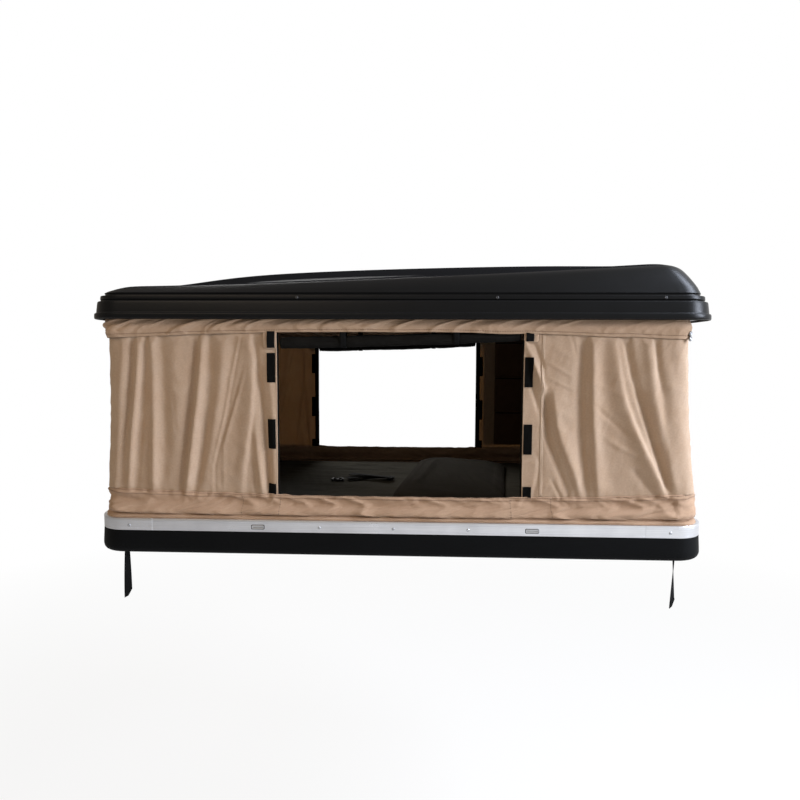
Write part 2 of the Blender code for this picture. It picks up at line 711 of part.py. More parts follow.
def channel(name, back_x, open_x, z, parent=None):
    """A C channel along Y in which a roller runs, its back at back_x and its mouth at open_x."""
    y_low = SLIDE_OPEN - ROLLER_RADIUS - CHANNEL_END_PLAY
    y_high = SLIDE_SHUT + ROLLER_RADIUS + CHANNEL_END_PLAY
    into = math.copysign(1.0, open_x - back_x)
    outer, wall = CHANNEL_HALF, CHANNEL_WALL
    section = [
        (back_x, -outer), (open_x, -outer), (open_x, -outer + wall), (back_x + into * wall, -outer + wall),
        (back_x + into * wall, outer - wall), (open_x, outer - wall), (open_x, outer), (back_x, outer),
    ]
    rows = [np.array([(x, y, z + dz) for x, dz in section]) for y in (y_low, y_high)]
    count = len(section)
    faces = ring_faces(2, count, False)
    faces += [tuple(range(count)), tuple(range(2 * count - 1, count - 1, -1))]
    return add_object(name, mesh_from(name, np.concatenate(rows), faces), "aluminium", parent=parent)


def arm_direction(angle):
    return np.array([math.cos(angle), math.sin(angle)])


def arm(name, x, start, angle, holes, parent, origin):
    """A flat scissor arm with round ends; holes are (distance along it, radius)."""
    along = arm_direction(angle)
    end = start + along * ARM_LENGTH
    outer = circle_points(start, ARM_WIDTH / 2, 8, angle + math.pi / 2, math.pi, closed=False)
    outer += circle_points(end, ARM_WIDTH / 2, 8, angle - math.pi / 2, math.pi, closed=False)
    cut = [circle_points(start + along * reach, radius, 14) for reach, radius in holes]
    return plate(name, "black_steel", x, ARM_THICKNESS, outer, cut, origin=origin, parent=parent)


def pivot_bracket(name, plate_x, stud_end_x, foot_x, pivot, base_z, parent=None):
    """A plate on a foot, with the stud on which a scissor arm or a strut turns."""
    y, z = pivot
    half = BRACKET_FOOT
    up = math.copysign(1.0, z - base_z)
    arc = circle_points((y, z), BRACKET_EYE_RADIUS, 8, math.pi if up < 0 else 0.0, math.pi, closed=False)
    outline_points = arc + [(y - up * half, base_z), (y + up * half, base_z)]
    thickness = BRACKET_THICKNESS
    piece = plate(name, "black_steel", plate_x, thickness, outline_points, parent=parent)
    edge = plate_x - math.copysign(thickness / 2, foot_x - plate_x)
    reach_y = half + BRACKET_FOOT_MARGIN
    low = (min(edge, foot_x), y - reach_y, min(base_z, base_z + up * thickness))
    high = (max(edge, foot_x), y + reach_y, max(base_z, base_z + up * thickness))
    foot = box(name + "_foot", None, low, high, helper=True)
    reach = abs(stud_end_x - plate_x)
    radius = AXLE_RADIUS if "strut" in name else PIN_RADIUS
    axis = (math.copysign(1.0, stud_end_x - plate_x), 0, 0)
    profile = [(0, reach), (radius, reach), (radius, 0), (0, 0)]
    stud = turned(name + "_stud", None, profile, (plate_x, y, z), axis, steps=14, helper=True)
    return joined(piece, foot, stud)


def roller(name, arm_x, inner_x, outer_x, place, parent):
    """A nylon roller with its axle, which turns in the hole at the end of its arm."""
    away = math.copysign(1.0, inner_x - arm_x)
    start = arm_x - away * (ARM_THICKNESS / 2 - BRACKET_CLEARANCE)
    near, far = abs(inner_x - start), abs(outer_x - start)
    near, far = min(near, far), max(near, far)
    profile = [
        (0, far), (ROLLER_RADIUS, far), (ROLLER_RADIUS, near), (AXLE_RADIUS, near), (AXLE_RADIUS, 0), (0, 0),
    ]
    origin = (start, *place)
    return turned(name, "nylon", profile, origin, (away, 0, 0), steps=16, origin=origin, parent=parent)


def scissor(name, side):
    """One end's scissor: two crossed arms, their pins, rollers, channels and brackets."""
    low_pivot = np.array([PIVOT_Y, PIVOT_LOW])
    high_pivot = np.array([PIVOT_Y, PIVOT_HIGH])
    a_end = low_pivot + arm_direction(OPEN_ANGLE) * ARM_LENGTH
    b_start = np.array([SLIDE_OPEN, PIVOT_LOW])
    middle = (low_pivot + a_end) / 2
    a_x, b_x = side * ARM_A_X, side * ARM_B_X
    pin_hole, axle_hole = PIN_RADIUS + GAP, AXLE_RADIUS + GAP
    a_joint = joint_empty(f"joint_arm_a_{name}", (a_x, *low_pivot))
    b_joint = joint_empty(f"joint_arm_b_{name}", (b_x, *middle), a_joint)
    holes_a = [(reach, pin_hole) for reach in (0.0, STRUT_ARM_REACH, ARM_LENGTH / 2)]
    holes_a.append((ARM_LENGTH, axle_hole))
    arm(f"arm_a_{name}", a_x, low_pivot, OPEN_ANGLE, holes_a, a_joint, (a_x, *low_pivot))
    holes_b = [(0.0, axle_hole), (ARM_LENGTH / 2, pin_hole), (ARM_LENGTH, pin_hole)]
    arm(f"arm_b_{name}", b_x, b_start, math.pi - OPEN_ANGLE, holes_b, b_joint, (b_x, *middle))

    half = ARM_THICKNESS / 2
    start = side * (ARM_A_X - half - GAP - PIN_HEAD_HEIGHT)
    head, length = PIN_HEAD_HEIGHT, PIN_HEAD_HEIGHT + 2 * ARM_THICKNESS + ARM_SPACING + 2 * GAP + PIN_TAIL
    profile = [(0, length), (PIN_RADIUS, length), (PIN_RADIUS, head), (PIN_HEAD, head), (PIN_HEAD, 0), (0, 0)]
    place = (start, *middle)
    turned(f"centre_pin_{name}", "steel", profile, place, (side, 0, 0), 16, origin=place, parent=a_joint)

    stud = low_pivot + arm_direction(OPEN_ANGLE) * STRUT_ARM_REACH
    stud_start = side * (ARM_A_X + half - BRACKET_CLEARANCE)
    stud_length = abs(stud_start) - (STRUT_X + STRUT_EYE_THICKNESS / 2 + STRUT_SIDE_PLAY)
    profile = [(0, stud_length), (PIN_RADIUS, stud_length), (PIN_RADIUS, 0), (0, 0)]
    place = (stud_start, *stud)
    turned(f"strut_stud_{name}", "steel", profile, place, (-side, 0, 0), 16, origin=place, parent=a_joint)

    face_a, face_b = ARM_A_X - half - BRACKET_CLEARANCE, ARM_B_X + half + BRACKET_CLEARANCE
    bracket_a = side * (face_a - BRACKET_THICKNESS / 2)
    end_a = side * (ARM_A_X + half + GAP)
    foot_a = side * (face_a - BRACKET_THICKNESS - BRACKET_FOOT)
    pivot_bracket(f"base_bracket_{name}", bracket_a, end_a, foot_a, low_pivot, FLOOR_TOP + GAP)
    bracket_b = side * (face_b + BRACKET_THICKNESS / 2)
    end_b = side * (ARM_B_X - half - GAP)
    foot_b = side * (face_b + BRACKET_FOOT)
    pivot_bracket(f"lid_bracket_{name}", bracket_b, end_b, foot_b, high_pivot, CROSS_Z - GAP, parent=LID)

    channel(f"base_channel_{name}", side * SCISSOR_X, side * (SCISSOR_X - CHANNEL_DEPTH), PIVOT_LOW)
    mouth = CHANNEL_IN + CHANNEL_DEPTH
    channel(f"lid_channel_{name}", side * CHANNEL_IN, side * mouth, PIVOT_HIGH, parent=LID)
    near_b, near_a = side * (ROLLER_OUT - ROLLER_WIDTH), side * (ROLLER_IN + ROLLER_WIDTH)
    roller(f"base_roller_{name}", b_x, near_b, side * ROLLER_OUT, b_start, b_joint)
    roller(f"lid_roller_{name}", a_x, near_a, side * ROLLER_IN, a_end, a_joint)
    gas_strut(name, side, stud)


def gas_strut(name, side, stud):
    """A gas strut that pushes the scissor open: its cylinder turns on the base and its rod slides."""
    x = side * STRUT_X
    foot = np.array([STRUT_BASE_Y, PIVOT_LOW])
    reach = stud - foot
    length = float(np.hypot(*reach))
    axis = (0.0, *(reach / length))
    start = (x, *foot)
    joint = joint_empty(f"joint_strut_{name}", start)
    slide = joint_empty(f"joint_rod_{name}", (x, *stud), joint)
    bore, neck = ROD_RADIUS + GAP, STRUT_EYE_THICKNESS / 2
    tip, shoulder = length - ROD_SHOWN_LENGTH, STRUT_NECK_LENGTH + STRUT_SHOULDER
    blind = shoulder + STRUT_SHOULDER
    tube = [
        (0.0, blind), (bore, blind), (bore, tip), (STRUT_RADIUS * 0.8, tip),
        (STRUT_RADIUS, tip - STRUT_SHOULDER), (STRUT_RADIUS, shoulder), (neck, STRUT_NECK_LENGTH),
        (neck, STRUT_EYE_LAP), (0.0, STRUT_EYE_LAP),
    ]
    body = turned(f"strut_cylinder_{name}", "black_steel", tube, start, axis, 14, origin=start, parent=joint)
    joined(body, eye_ring(f"strut_cylinder_{name}_eye", x, foot))
    cut(body, eye_hole(f"strut_cylinder_{name}_hole", x, foot))
    rod_end, rod_start = length - STRUT_EYE_LAP, tip - ROD_INSIDE_LENGTH
    rod_profile = [(0, rod_end), (ROD_RADIUS, rod_end), (ROD_RADIUS, rod_start), (0, rod_start)]
    end = (x, *stud)
    rod = turned(f"strut_rod_{name}", "steel", rod_profile, start, axis, 12, origin=end, parent=slide)
    joined(rod, eye_ring(f"strut_rod_{name}_eye", x, stud))
    cut(rod, eye_hole(f"strut_rod_{name}_hole", x, stud))
    plate_x = side * (STRUT_PLATE_X + BRACKET_THICKNESS / 2)
    stud_end = side * (STRUT_X + STRUT_EYE_THICKNESS / 2 + BRACKET_CLEARANCE)
    foot_x = side * (STRUT_PLATE_X - BRACKET_THICKNESS / 2)
    pivot_bracket(f"strut_bracket_{name}", plate_x, stud_end, foot_x, foot, FLOOR_TOP + GAP)


def eye_ring(name, x, place):
    half = STRUT_EYE_THICKNESS / 2
    profile = [(0, 2 * half), (STRUT_EYE_RADIUS, 2 * half), (STRUT_EYE_RADIUS, 0), (0, 0)]
    return turned(name, None, profile, (x - half, *place), (1, 0, 0), 16, helper=True)


def eye_hole(name, x, place):
    reach = STRUT_EYE_THICKNESS
    profile = [(0, 2 * reach), (AXLE_RADIUS + GAP, 2 * reach), (AXLE_RADIUS + GAP, 0), (0, 0)]
    return turned(name, None, profile, (x - reach, *place), (1, 0, 0), 12, helper=True)


def cut(obj, cutter):
    modifier = obj.modifiers.new("bore", "BOOLEAN")
    modifier.operation = "DIFFERENCE"
    modifier.solver = "EXACT"
    modifier.object = cutter
    return obj


def sill(x):
    """Top edge of the lower canvas band: level at the doorways and higher at the corners."""
    return BASE_Z + SILL_HEIGHT + SILL_CORNER_RISE * np.clip(np.abs(x) / HALF_LENGTH, 0, 1) ** 3


def header(x):
    """Lower edge of the canvas valance: level over the doorways and lower at the corners."""
    return BASE_Z + HEADER_HEIGHT - HEADER_CORNER_DROP * np.clip(np.abs(x) / HALF_LENGTH, 0, 1) ** 2


def folds(along, share, marks):
    """Depth of the main folds: each is a soft ridge that leans as it runs up the cloth."""
    depth = np.zeros(np.broadcast(along, share).shape)
    for centre, width, lean, height in marks:
        depth = depth + height * np.exp(-(((along - centre - lean * share) / width) ** 2))
    return depth


def fold_fade(share):
    """Folds are deepest half way up and are gone under the valance."""
    return np.sin(math.pi * np.clip(np.asarray(share) / FOLD_TOP, 0, 1))


def wall_line(share):
    """Half width of the tent's walls at a share of their height, drawn in between sill and lid."""
    top = frame_size()[1] - FRAME_WIDTH + CANVAS / 2
    low = CANVAS_SIDE_REACH
    return low + (top - low) * share**3 - CANVAS_DRAW_IN * np.sin(math.pi * share)


def side_wall(name, x_start, x_end, side, marks, columns=17, rows=8):
    """One canvas panel of a long side, from a doorway's edge to the corner."""
    x, share = np.meshgrid(np.linspace(x_start, x_end, columns), np.linspace(0, 1, rows))
    low = sill(x) + SEAM_GAP
    top = LIP_Z - WALL_TOP_LAP
    swell = folds(x, share, marks) * fold_fade(share)
    y = side * (wall_line(share) + swell)
    grid = np.stack([x, y, low + (top - low) * share], axis=-1)
    return cloth(name, "canvas", grid)


def end_wall(name, side, top_reach, marks, rows=8):
    """The canvas at a short end, with the two corners that turn into the long sides."""
    low_reach, top = CANVAS_LOW_REACH, LIP_Z - WALL_TOP_LAP
    corner = np.linspace(-math.pi / 2, 0, 5)
    lines = []
    for share in np.linspace(0, 1, rows):
        half_y = float(wall_line(share)) - CANVAS_CORNER
        centre = low_reach + (top_reach - low_reach) * min(1.0, 1.6 * share) ** 0.6 - CANVAS_CORNER
        centre -= 0.5 * CANVAS_DRAW_IN * math.sin(math.pi * share)
        flat = np.linspace(-half_y, half_y, 9)[1:-1]
        bulge = centre + CANVAS_CORNER + folds(flat, share, marks) * fold_fade(share)
        turn_x = centre + CANVAS_CORNER * np.cos(corner)
        turn_y = half_y - CANVAS_CORNER * np.sin(corner)
        x = np.concatenate([[CORNER_X], turn_x, bulge, turn_x[::-1], [CORNER_X]])
        y = np.concatenate([[-turn_y[0]], -turn_y, flat, turn_y[::-1], [turn_y[0]]])
        low = sill(x) + SEAM_GAP
        lines.append(np.stack([side * x, y, low + (top - low) * share], axis=-1))
    return cloth(name, "canvas", np.array(lines))


def canvas_skirt():
    """The lower canvas band: its hem is held behind the band's flange and it bulges out above it."""
    hem = BAND_INSET + BAND_TOP_FLANGE + HEM_CLEARANCE
    top = np.array([CANVAS_END_INSET, CANVAS_SIDE_INSET])
    shape = [
        (1.0, 1.0), (1.05, 0.62), (0.55, 0.34), (0.25, 0.17), (0.35, 0.05), (0.0, -0.10), (0.0, -0.22),
    ]
    rows = []
    for blend, share in shape:
        inset_x = hem + (top[0] - hem) * blend
        inset_y = hem + (top[1] - hem) * blend
        plan, _ = outline(HALF_LENGTH - inset_x, HALF_WIDTH - inset_y, CANVAS_CORNER + 0.02, 4, 10, 4)
        height = sill(plan[:, 0]) - BAND_TOP
        rows.append(np.column_stack([plan, BAND_TOP + height * share]))
    return cloth("canvas_skirt", "canvas_band", np.array(rows), closed_loop=True)


def canvas_valance():
    """The upper canvas band, which hangs from the lid's frame over the top of the walls."""
    reach_y = frame_size()[1] - VALANCE_INSET
    lap = CANVAS + 2 * GAP
    left, right = CANVAS_TOP_LEFT + lap, CANVAS_TOP_RIGHT + lap
    top_z = FRAME_Z - GAP
    rows = []
    for share in (0.0, 0.30, 0.65, 1.0):
        belly = VALANCE_BELLY * math.sin(math.pi * share)
        plan, _ = outline((left + right) / 2 + belly, reach_y + belly, CANVAS_CORNER + lap, 4, 10, 4)
        plan = plan + ((right - left) / 2, 0.0)
        low = header(plan[:, 0])
        rows.append(np.column_stack([plan, top_z + (low - top_z) * share]))
    return cloth("canvas_valance", "canvas_band", np.array(rows), closed_loop=True, parent=LID)


def tie_loop(centre, radius, seam_y, top):
    """The outline in (Y, Z) of a strap that is sewn in at the top and passes under a roll."""
    under = circle_points(centre, radius, 10, math.pi, math.pi, closed=False)
    return under + [(seam_y, top), (centre[0] - radius, top)]


def door_roll(name, side, centre_x):
    """The rolled door flap under the header, drawn in by the two ties that it hangs in."""
    seam_y = frame_size()[1] - VALANCE_INSET - CANVAS / 2 - 2 * GAP
    centre_y = seam_y - ROLL_RADIUS
    reach = DOOR_WIDTH / 2 - ROLL_END_MARGIN
    edges = [TIE_X + step * TIE_WIDTH for step in (-1.5, -0.55, 0.55, 1.5)]
    spline_x = np.sort(np.concatenate([np.linspace(-reach, reach, 7), edges, np.negative(edges)]))
    pinch = np.where(np.abs(np.abs(spline_x) - TIE_X) < TIE_WIDTH, ROLL_PINCH, 1.0)

    def height(x):
        share = x / DOOR_WIDTH + 0.5
        rise = (ROLL_HIGH_END - ROLL_LOW_END) * share - ROLL_SAG * np.sin(math.pi * share)
        return BASE_Z + ROLL_LOW_END + rise

    curve = bpy.data.curves.new(name, "CURVE")
    curve.dimensions = "3D"
    curve.bevel_depth = ROLL_RADIUS
    curve.bevel_resolution = 2
    curve.use_fill_caps = True
    spline = curve.splines.new("POLY")
    spline.points.add(len(spline_x) - 1)
    for point, x, radius in zip(spline.points, spline_x, pinch):
        point.co = (x + centre_x, side * centre_y, height(x), 1.0)
        point.radius = radius
    add_object(name, curve, "door_cloth", parent=LID)
    inner, top = ROLL_RADIUS * ROLL_PINCH + TIE_EASE, FRAME_Z - GAP
    for label, x in (("left", -TIE_X), ("right", TIE_X)):
        centre = (centre_y, height(x))
        outside = tie_loop(centre, inner + TIE_THICKNESS, seam_y, top)
        inside = tie_loop(centre, inner, seam_y - TIE_THICKNESS, top - TIE_THICKNESS)
        loops = [[(side * y, z) for y, z in loop] for loop in (outside, inside)]
        plate(f"{name}_tie_{label}", "webbing", x + centre_x, TIE_WIDTH, loops[0], loops[1:], parent=LID)


def organiser():
    """The pocket panel on the inside of the far wall: rows of pockets that belly out."""
    left = DOOR_X_FAR + DOOR_WIDTH / 2 + ORGANISER_MARGIN
    columns, rows = 9, 4 * POCKET_ROWS + 1
    x, share = np.meshgrid(np.linspace(left, left + ORGANISER_WIDTH, columns), np.linspace(0, 1, rows))
    z = BASE_Z + ORGANISER_BOTTOM + (ORGANISER_TOP - ORGANISER_BOTTOM) * share
    across = (x - left) / ORGANISER_WIDTH
    pocket = np.abs(np.sin(math.pi * share * POCKET_ROWS) * np.sin(2 * math.pi * across))
    height = (z - sill(x)) / (LIP_Z - WALL_TOP_LAP - sill(x))
    backing = (CANVAS + POCKET_CLOTH) / 2 + 2 * GAP
    y = wall_line(np.clip(height, 0, 1)) - backing - POCKET_DEPTH * pocket
    return cloth("organiser", "organiser", np.stack([x, y, z], axis=-1), thickness=POCKET_CLOTH)


def closing_strap(name, x, y):
    """A flat webbing strap that hangs from the base, turning as it falls, with its end cut to a point."""
    top = BASE_Z - GAP
    rows = []
    for share in np.linspace(0, 1, 9):
        turn = STRAP_TURN_TOP + (STRAP_TURN_END - STRAP_TURN_TOP) * share
        half = WEBBING_WIDTH / 2
        across = np.array([math.cos(turn), math.sin(turn), 0.0]) * half
        centre = np.array([x, y, top - STRAP_DROP * share])
        slant = STRAP_POINT if share == 1 else 0.0
        rows.append([centre - across, centre + (0, 0, slant / 2), centre + across + (0, 0, slant)])
    return cloth(name, "webbing", np.array(rows), thickness=WEBBING_THICKNESS)


def canvas():
    near, far = DOOR_X_NEAR, DOOR_X_FAR
    half = DOOR_WIDTH / 2
    left_marks = [(-0.83, 0.035, 0.05, 0.006), (-0.70, 0.04, -0.06, 0.007), (-0.55, 0.035, -0.04, 0.005)]
    right_marks = [(0.55, 0.03, 0.10, 0.006), (0.68, 0.035, 0.12, 0.007), (0.84, 0.035, 0.06, 0.005)]
    canvas_skirt()
    side_wall("canvas_near_left", -SIDE_END_X, near - half, -1, left_marks)
    side_wall("canvas_near_right", near + half, SIDE_END_X, -1, right_marks)
    side_wall("canvas_far_left", -SIDE_END_X, far - half, 1, left_marks)
    side_wall("canvas_far_right", far + half, SIDE_END_X, 1, right_marks)
    end_marks = [(-0.28, 0.05, 0.05, 0.005), (0.05, 0.05, -0.06, 0.006), (0.30, 0.05, 0.04, 0.005)]
    end_wall("canvas_end_low", -1, CANVAS_TOP_LEFT, end_marks)
    end_wall("canvas_end_tall", 1, CANVAS_TOP_RIGHT, end_marks)
    canvas_valance()
    door_roll("door_roll_near", -1, near)
    door_roll("door_roll_far", 1, far)
    organiser()


clear_scene()
PARTS = new_collection(COLLECTION)
CUTTERS = new_collection("cutters")
LID = joint_empty("joint_lid", (0.0, PIVOT_Y, PIVOT_HIGH))

rails()
base_shell()
base_band()
floor_and_bedding()
lid_shell()
lid_frame()
for end_name, end_side in ENDS:
    scissor(end_name, end_side)
canvas()
for strap_name, strap_x, strap_y in (
    ("strap_near_low", -STRAP_X, -STRAP_Y),
    ("strap_near_tall", STRAP_X, -STRAP_Y),
    ("strap_far_low", -STRAP_X, STRAP_Y),
    ("strap_far_tall", STRAP_X, STRAP_Y),
):
    closing_strap(strap_name, strap_x, strap_y)
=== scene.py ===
# %% [markdown]
# # A hard shell roof top tent, open
#
# The tent is a black moulded lid that rises straight up off a shallow tray, with canvas walls
# between them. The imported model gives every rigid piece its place. This lesson dresses it: each
# visible piece becomes a surface worked out with numpy, and each finish a small node tree.

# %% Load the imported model
import math

import bmesh
import bpy
import numpy as np
from mathutils import Matrix, Vector


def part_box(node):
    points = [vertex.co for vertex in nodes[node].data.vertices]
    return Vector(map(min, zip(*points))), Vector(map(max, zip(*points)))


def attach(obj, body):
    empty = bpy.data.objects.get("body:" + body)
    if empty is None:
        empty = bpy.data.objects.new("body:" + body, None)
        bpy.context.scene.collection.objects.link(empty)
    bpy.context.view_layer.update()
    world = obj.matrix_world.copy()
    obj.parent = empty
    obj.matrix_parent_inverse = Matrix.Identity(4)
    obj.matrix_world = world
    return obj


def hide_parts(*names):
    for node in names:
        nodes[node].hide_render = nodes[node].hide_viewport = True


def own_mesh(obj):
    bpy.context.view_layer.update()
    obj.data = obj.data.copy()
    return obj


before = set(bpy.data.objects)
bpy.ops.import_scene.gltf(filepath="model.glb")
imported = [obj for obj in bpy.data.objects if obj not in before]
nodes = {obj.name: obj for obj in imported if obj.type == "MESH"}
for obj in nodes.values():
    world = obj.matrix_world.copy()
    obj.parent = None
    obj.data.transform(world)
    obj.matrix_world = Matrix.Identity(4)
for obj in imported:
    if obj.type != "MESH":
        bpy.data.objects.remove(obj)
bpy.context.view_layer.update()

# %% [markdown]
# ## Where the camera stands
#
# A camera could be placed by eye, but then no edge would fall where the photograph has it. This
# one was solved from the base's edges, the doorways and the lip of the lid. It stands 2 m in
# front of the near side, a little right of the middle, and looks 2 degrees left and 4 down.

# %% The camera
def put(name, data):
    """A new object in the scene, with the mesh, lamp or camera data given."""
    thing = bpy.data.objects.new(name, data)
    bpy.context.scene.collection.objects.link(thing)
    return thing


FOCAL_PIXELS = 620.4
IMAGE_PIXELS = 800
SENSOR = 36.0
EYE = Vector((0.094, -2.596, 0.692))
YAW, PITCH, ROLL = np.radians((2.29, 4.03, 0.25))

level = Vector((math.cos(YAW), math.sin(YAW), 0.0))
ahead = Vector((-math.sin(YAW) * math.cos(PITCH), math.cos(YAW) * math.cos(PITCH), -math.sin(PITCH)))
upright = level.cross(ahead)
right = math.cos(ROLL) * level + math.sin(ROLL) * upright
up = math.cos(ROLL) * upright - math.sin(ROLL) * level

camera_data = bpy.data.cameras.new("camera")
camera_data.sensor_width = SENSOR
camera_data.lens = FOCAL_PIXELS * SENSOR / IMAGE_PIXELS
camera = put("camera", camera_data)
camera.matrix_world = Matrix.Translation(EYE) @ Matrix((right, up, -ahead)).transposed().to_4x4()
bpy.context.scene.camera = camera
print("camera:", round(camera_data.lens, 2), "mm lens")

# %% [markdown]
# ## Sizes that the pieces share
#
# The canvas, the tray and the lid are drawn from the same few lengths, in metres and in the
# model's own frame. Keeping them in one place keeps every new surface on its solid.

# %% Sizes
BASE_Z = 0.0303
HALF_LENGTH, HALF_WIDTH = 1.015, 0.600
BASE_CORNER = 0.100
BAND_Z, BAND_TOP = 0.1092, 0.1492
MATTRESS_Z, MATTRESS_TOP = 0.0909, 0.1639
LIP_Z = 0.8113
WALL_TOP = 0.7913
CANVAS = 0.0016
# heights given for the soft pieces on the base, and for those on the lid
BAND_SEAT, FRAME_FOOT = 0.12, 0.8163
NEAR_DOOR, FAR_DOOR = (-0.395, 0.415), (-0.453, 0.357)
CORNER = 0.055


def sill(x):
    """Top of the lower canvas band: level in the middle, and it rises with the cube of |x| to the ends."""
    return BASE_Z + 0.196 + 0.020 * np.clip(np.abs(x) / HALF_LENGTH, 0, 1) ** 3


def header(x):
    """Lower edge of the upper canvas band: it falls with the square of |x| to the ends."""
    return BASE_Z + 0.740 - 0.024 * np.clip(np.abs(x) / HALF_LENGTH, 0, 1) ** 2


print("doorways:", NEAR_DOOR, FAR_DOOR)

# %% [markdown]
# ## From arrays to meshes
#
# Nearly every piece here is a grid: rows of points, each row a line across the piece. A grid
# could be made by subdividing a plane and moving its vertices, but an array of points needs no
# editing. One function joins neighbouring points with quads and writes the distances along
# the grid, in metres, as the UV map, so that a weave has its real size on any piece.


# %% Grids of points
def grid_piece(name, grid, material, wrap=False, caps=()):
    """Quads between neighbouring points of a (rows, columns, 3) grid; wrap closes each row on itself.
    A capped row is closed by triangles round its middle. U and V are the lengths of the steps
    along the columns and along the rows, added up."""
    rows, columns = grid.shape[:2]
    i, j = np.meshgrid(np.arange(rows - 1), np.arange(columns - (not wrap)), indexing="ij")
    k = (j + 1) % columns
    quads = np.stack([i * columns + j, i * columns + k, (i + 1) * columns + k, (i + 1) * columns + j], -1)
    closed = np.concatenate([grid, grid[:, :1]], 1) if wrap else grid
    uv = np.zeros((*closed.shape[:2], 2))
    uv[:, 1:, 0] = np.linalg.norm(np.diff(closed, axis=1), axis=2).cumsum(1)
    uv[1:, :, 1] = np.linalg.norm(np.diff(closed, axis=0), axis=2).cumsum(0)
    corners = np.stack([uv[i, j], uv[i, j + 1], uv[i + 1, j + 1], uv[i + 1, j]], axis=2).reshape(-1, 2)
    points, faces = grid.reshape(-1, 3), quads.reshape(-1, 4).tolist()
    for row in caps:
        ring = np.arange(columns) + (row % rows) * columns
        ahead_ring = np.roll(ring, -1)
        first, second = (ring, ahead_ring) if row else (ahead_ring, ring)
        middle = np.full(columns, len(points))
        points = np.vstack([points, grid[row].mean(0)])
        faces += np.stack([first, second, middle], 1).tolist()
        corners = np.vstack([corners, points[np.stack([first, second, middle], 1)].reshape(-1, 3)[:, :2]])
    mesh = bpy.data.meshes.new(name)
    mesh.from_pydata(points.tolist(), [], faces)
    layer = mesh.uv_layers.new(name="UVMap")
    layer.data.foreach_set("uv", corners.astype(np.float32).ravel())
    mesh.shade_smooth()
    mesh.materials.append(material)
    return put(name, mesh)


def lofted(name, loops, material, caps=(0, -1)):
    """A closed piece from loops, each with the same number of points, and capped at both ends."""
    return grid_piece(name, np.array(loops), material, wrap=True, caps=caps)


def sharpen(piece, degrees=40):
    """Edges that turn by more than the angle stay sharp in a smooth piece."""
    piece.data.set_sharp_from_angle(angle=math.radians(degrees))
    return piece


def thicken(piece, thickness, offset=0.0):
    """Cloth and shells are drawn as one surface, and Solidify gives them their thickness."""
    wall = piece.modifiers.new("thickness", "SOLIDIFY")
    wall.thickness, wall.offset = thickness, offset
    return piece


def settle(piece, body, slot, *replaced):
    """The piece rides on a body and stands for the nodes named, which are hidden; the slot is not used."""
    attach(piece, body)
    if replaced:
        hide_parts(*replaced)
    print(piece.name, len(piece.data.polygons), "faces on", body)
    return piece


def flatten(piece, anchor_z, keep):
    """The piece gets its own copy of its mesh; the height and keep are not used."""
    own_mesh(piece)
    return piece


print("soft pieces flatten towards", BAND_SEAT, "and", FRAME_FOOT, "m")


# %% Lines of points
def lengths(points):
    """Distance along a line of points, counted from its start."""
    return np.concatenate([[0], np.linalg.norm(np.diff(points, axis=0), axis=1).cumsum()])


def at_height(points, z):
    """Points of a plan at the height z, one number or one a point."""
    return np.column_stack([points, np.broadcast_to(z, len(points))])


def joined(loop):
    """A loop with its first row again at the end."""
    return np.vstack([loop, loop[:1]])


def unit(vectors):
    """Each vector divided by its length."""
    return vectors / np.linalg.norm(vectors, axis=-1, keepdims=True)


def facing_out(grid, side):
    """A grid drawn for the near side (-1) is reversed for the far one, so that its faces look outwards."""
    return grid if side < 0 else grid[:, ::-1]


def full_turn(count):
    """Equal angles round a circle, in radians."""
    return np.linspace(0, 2 * np.pi, count, endpoint=False)


print("a step of 3 by 4 is", lengths(np.array([(0, 0), (3, 4)]))[-1], "long")


# %% Tubes and ribbons along a path
def smooth_path(points, count):
    """A Catmull-Rom curve through the points, at equal steps of its length."""
    p = np.asarray(points, float)
    p = np.vstack([2 * p[0] - p[1], p, 2 * p[-1] - p[-2]])
    t = np.linspace(0, 1, 24, endpoint=False)[None, :, None]
    a, b, c, d = (p[k:len(p) - 3 + k, None, :] for k in range(4))
    curve = 0.5 * (2 * b + (c - a) * t + (2 * a - 5 * b + 4 * c - d) * t**2 + (3 * b - a - 3 * c + d) * t**3)
    curve = np.vstack([curve.reshape(-1, p.shape[1]), p[-2]])
    along = lengths(curve)
    wanted = np.linspace(0, along[-1], count)
    return np.stack([np.interp(wanted, along, axis) for axis in curve.T], 1)


def tube(name, path, radius, material, sides=12):
    """A circle of the given radius (one number or one a point) carried square to a path, with closed ends."""
    ahead_of = unit(np.gradient(path, axis=0))
    guide = np.eye(3)[np.argmin(np.abs(ahead_of).sum(0))]
    first = unit(np.cross(ahead_of, guide))
    second = np.cross(ahead_of, first)
    turn = full_turn(sides)[None, :, None]
    reach = np.broadcast_to(radius, len(path))[:, None, None]
    ring = first[:, None] * np.cos(turn) + second[:, None] * np.sin(turn)
    return lofted(name, path[:, None] + reach * ring, material)


def cut_corners(profile, times):
    """Each corner of a polyline is replaced by the points a quarter along its two sides, again and again."""
    for _ in range(times):
        first, second = profile[:-1], profile[1:]
        middle = np.stack([0.75 * first + 0.25 * second, 0.25 * first + 0.75 * second], 1)
        profile = np.vstack([profile[:1], middle.reshape(-1, profile.shape[1])[1:-1], profile[-1:]])
    return profile


corner_cut = cut_corners(np.array([(0.0, 0.0), (1.0, 0.0), (1.0, 1.0)]), 2)
print("a corner cut twice:", len(corner_cut), "points")


# %% Rounded rectangles in plan
def stations(count, marks=()):
    """Shares from -1 to 1 along a straight side, without its two ends, with extra marks put in."""
    return np.unique(np.concatenate([np.linspace(-1, 1, count + 2)[1:-1], marks]))


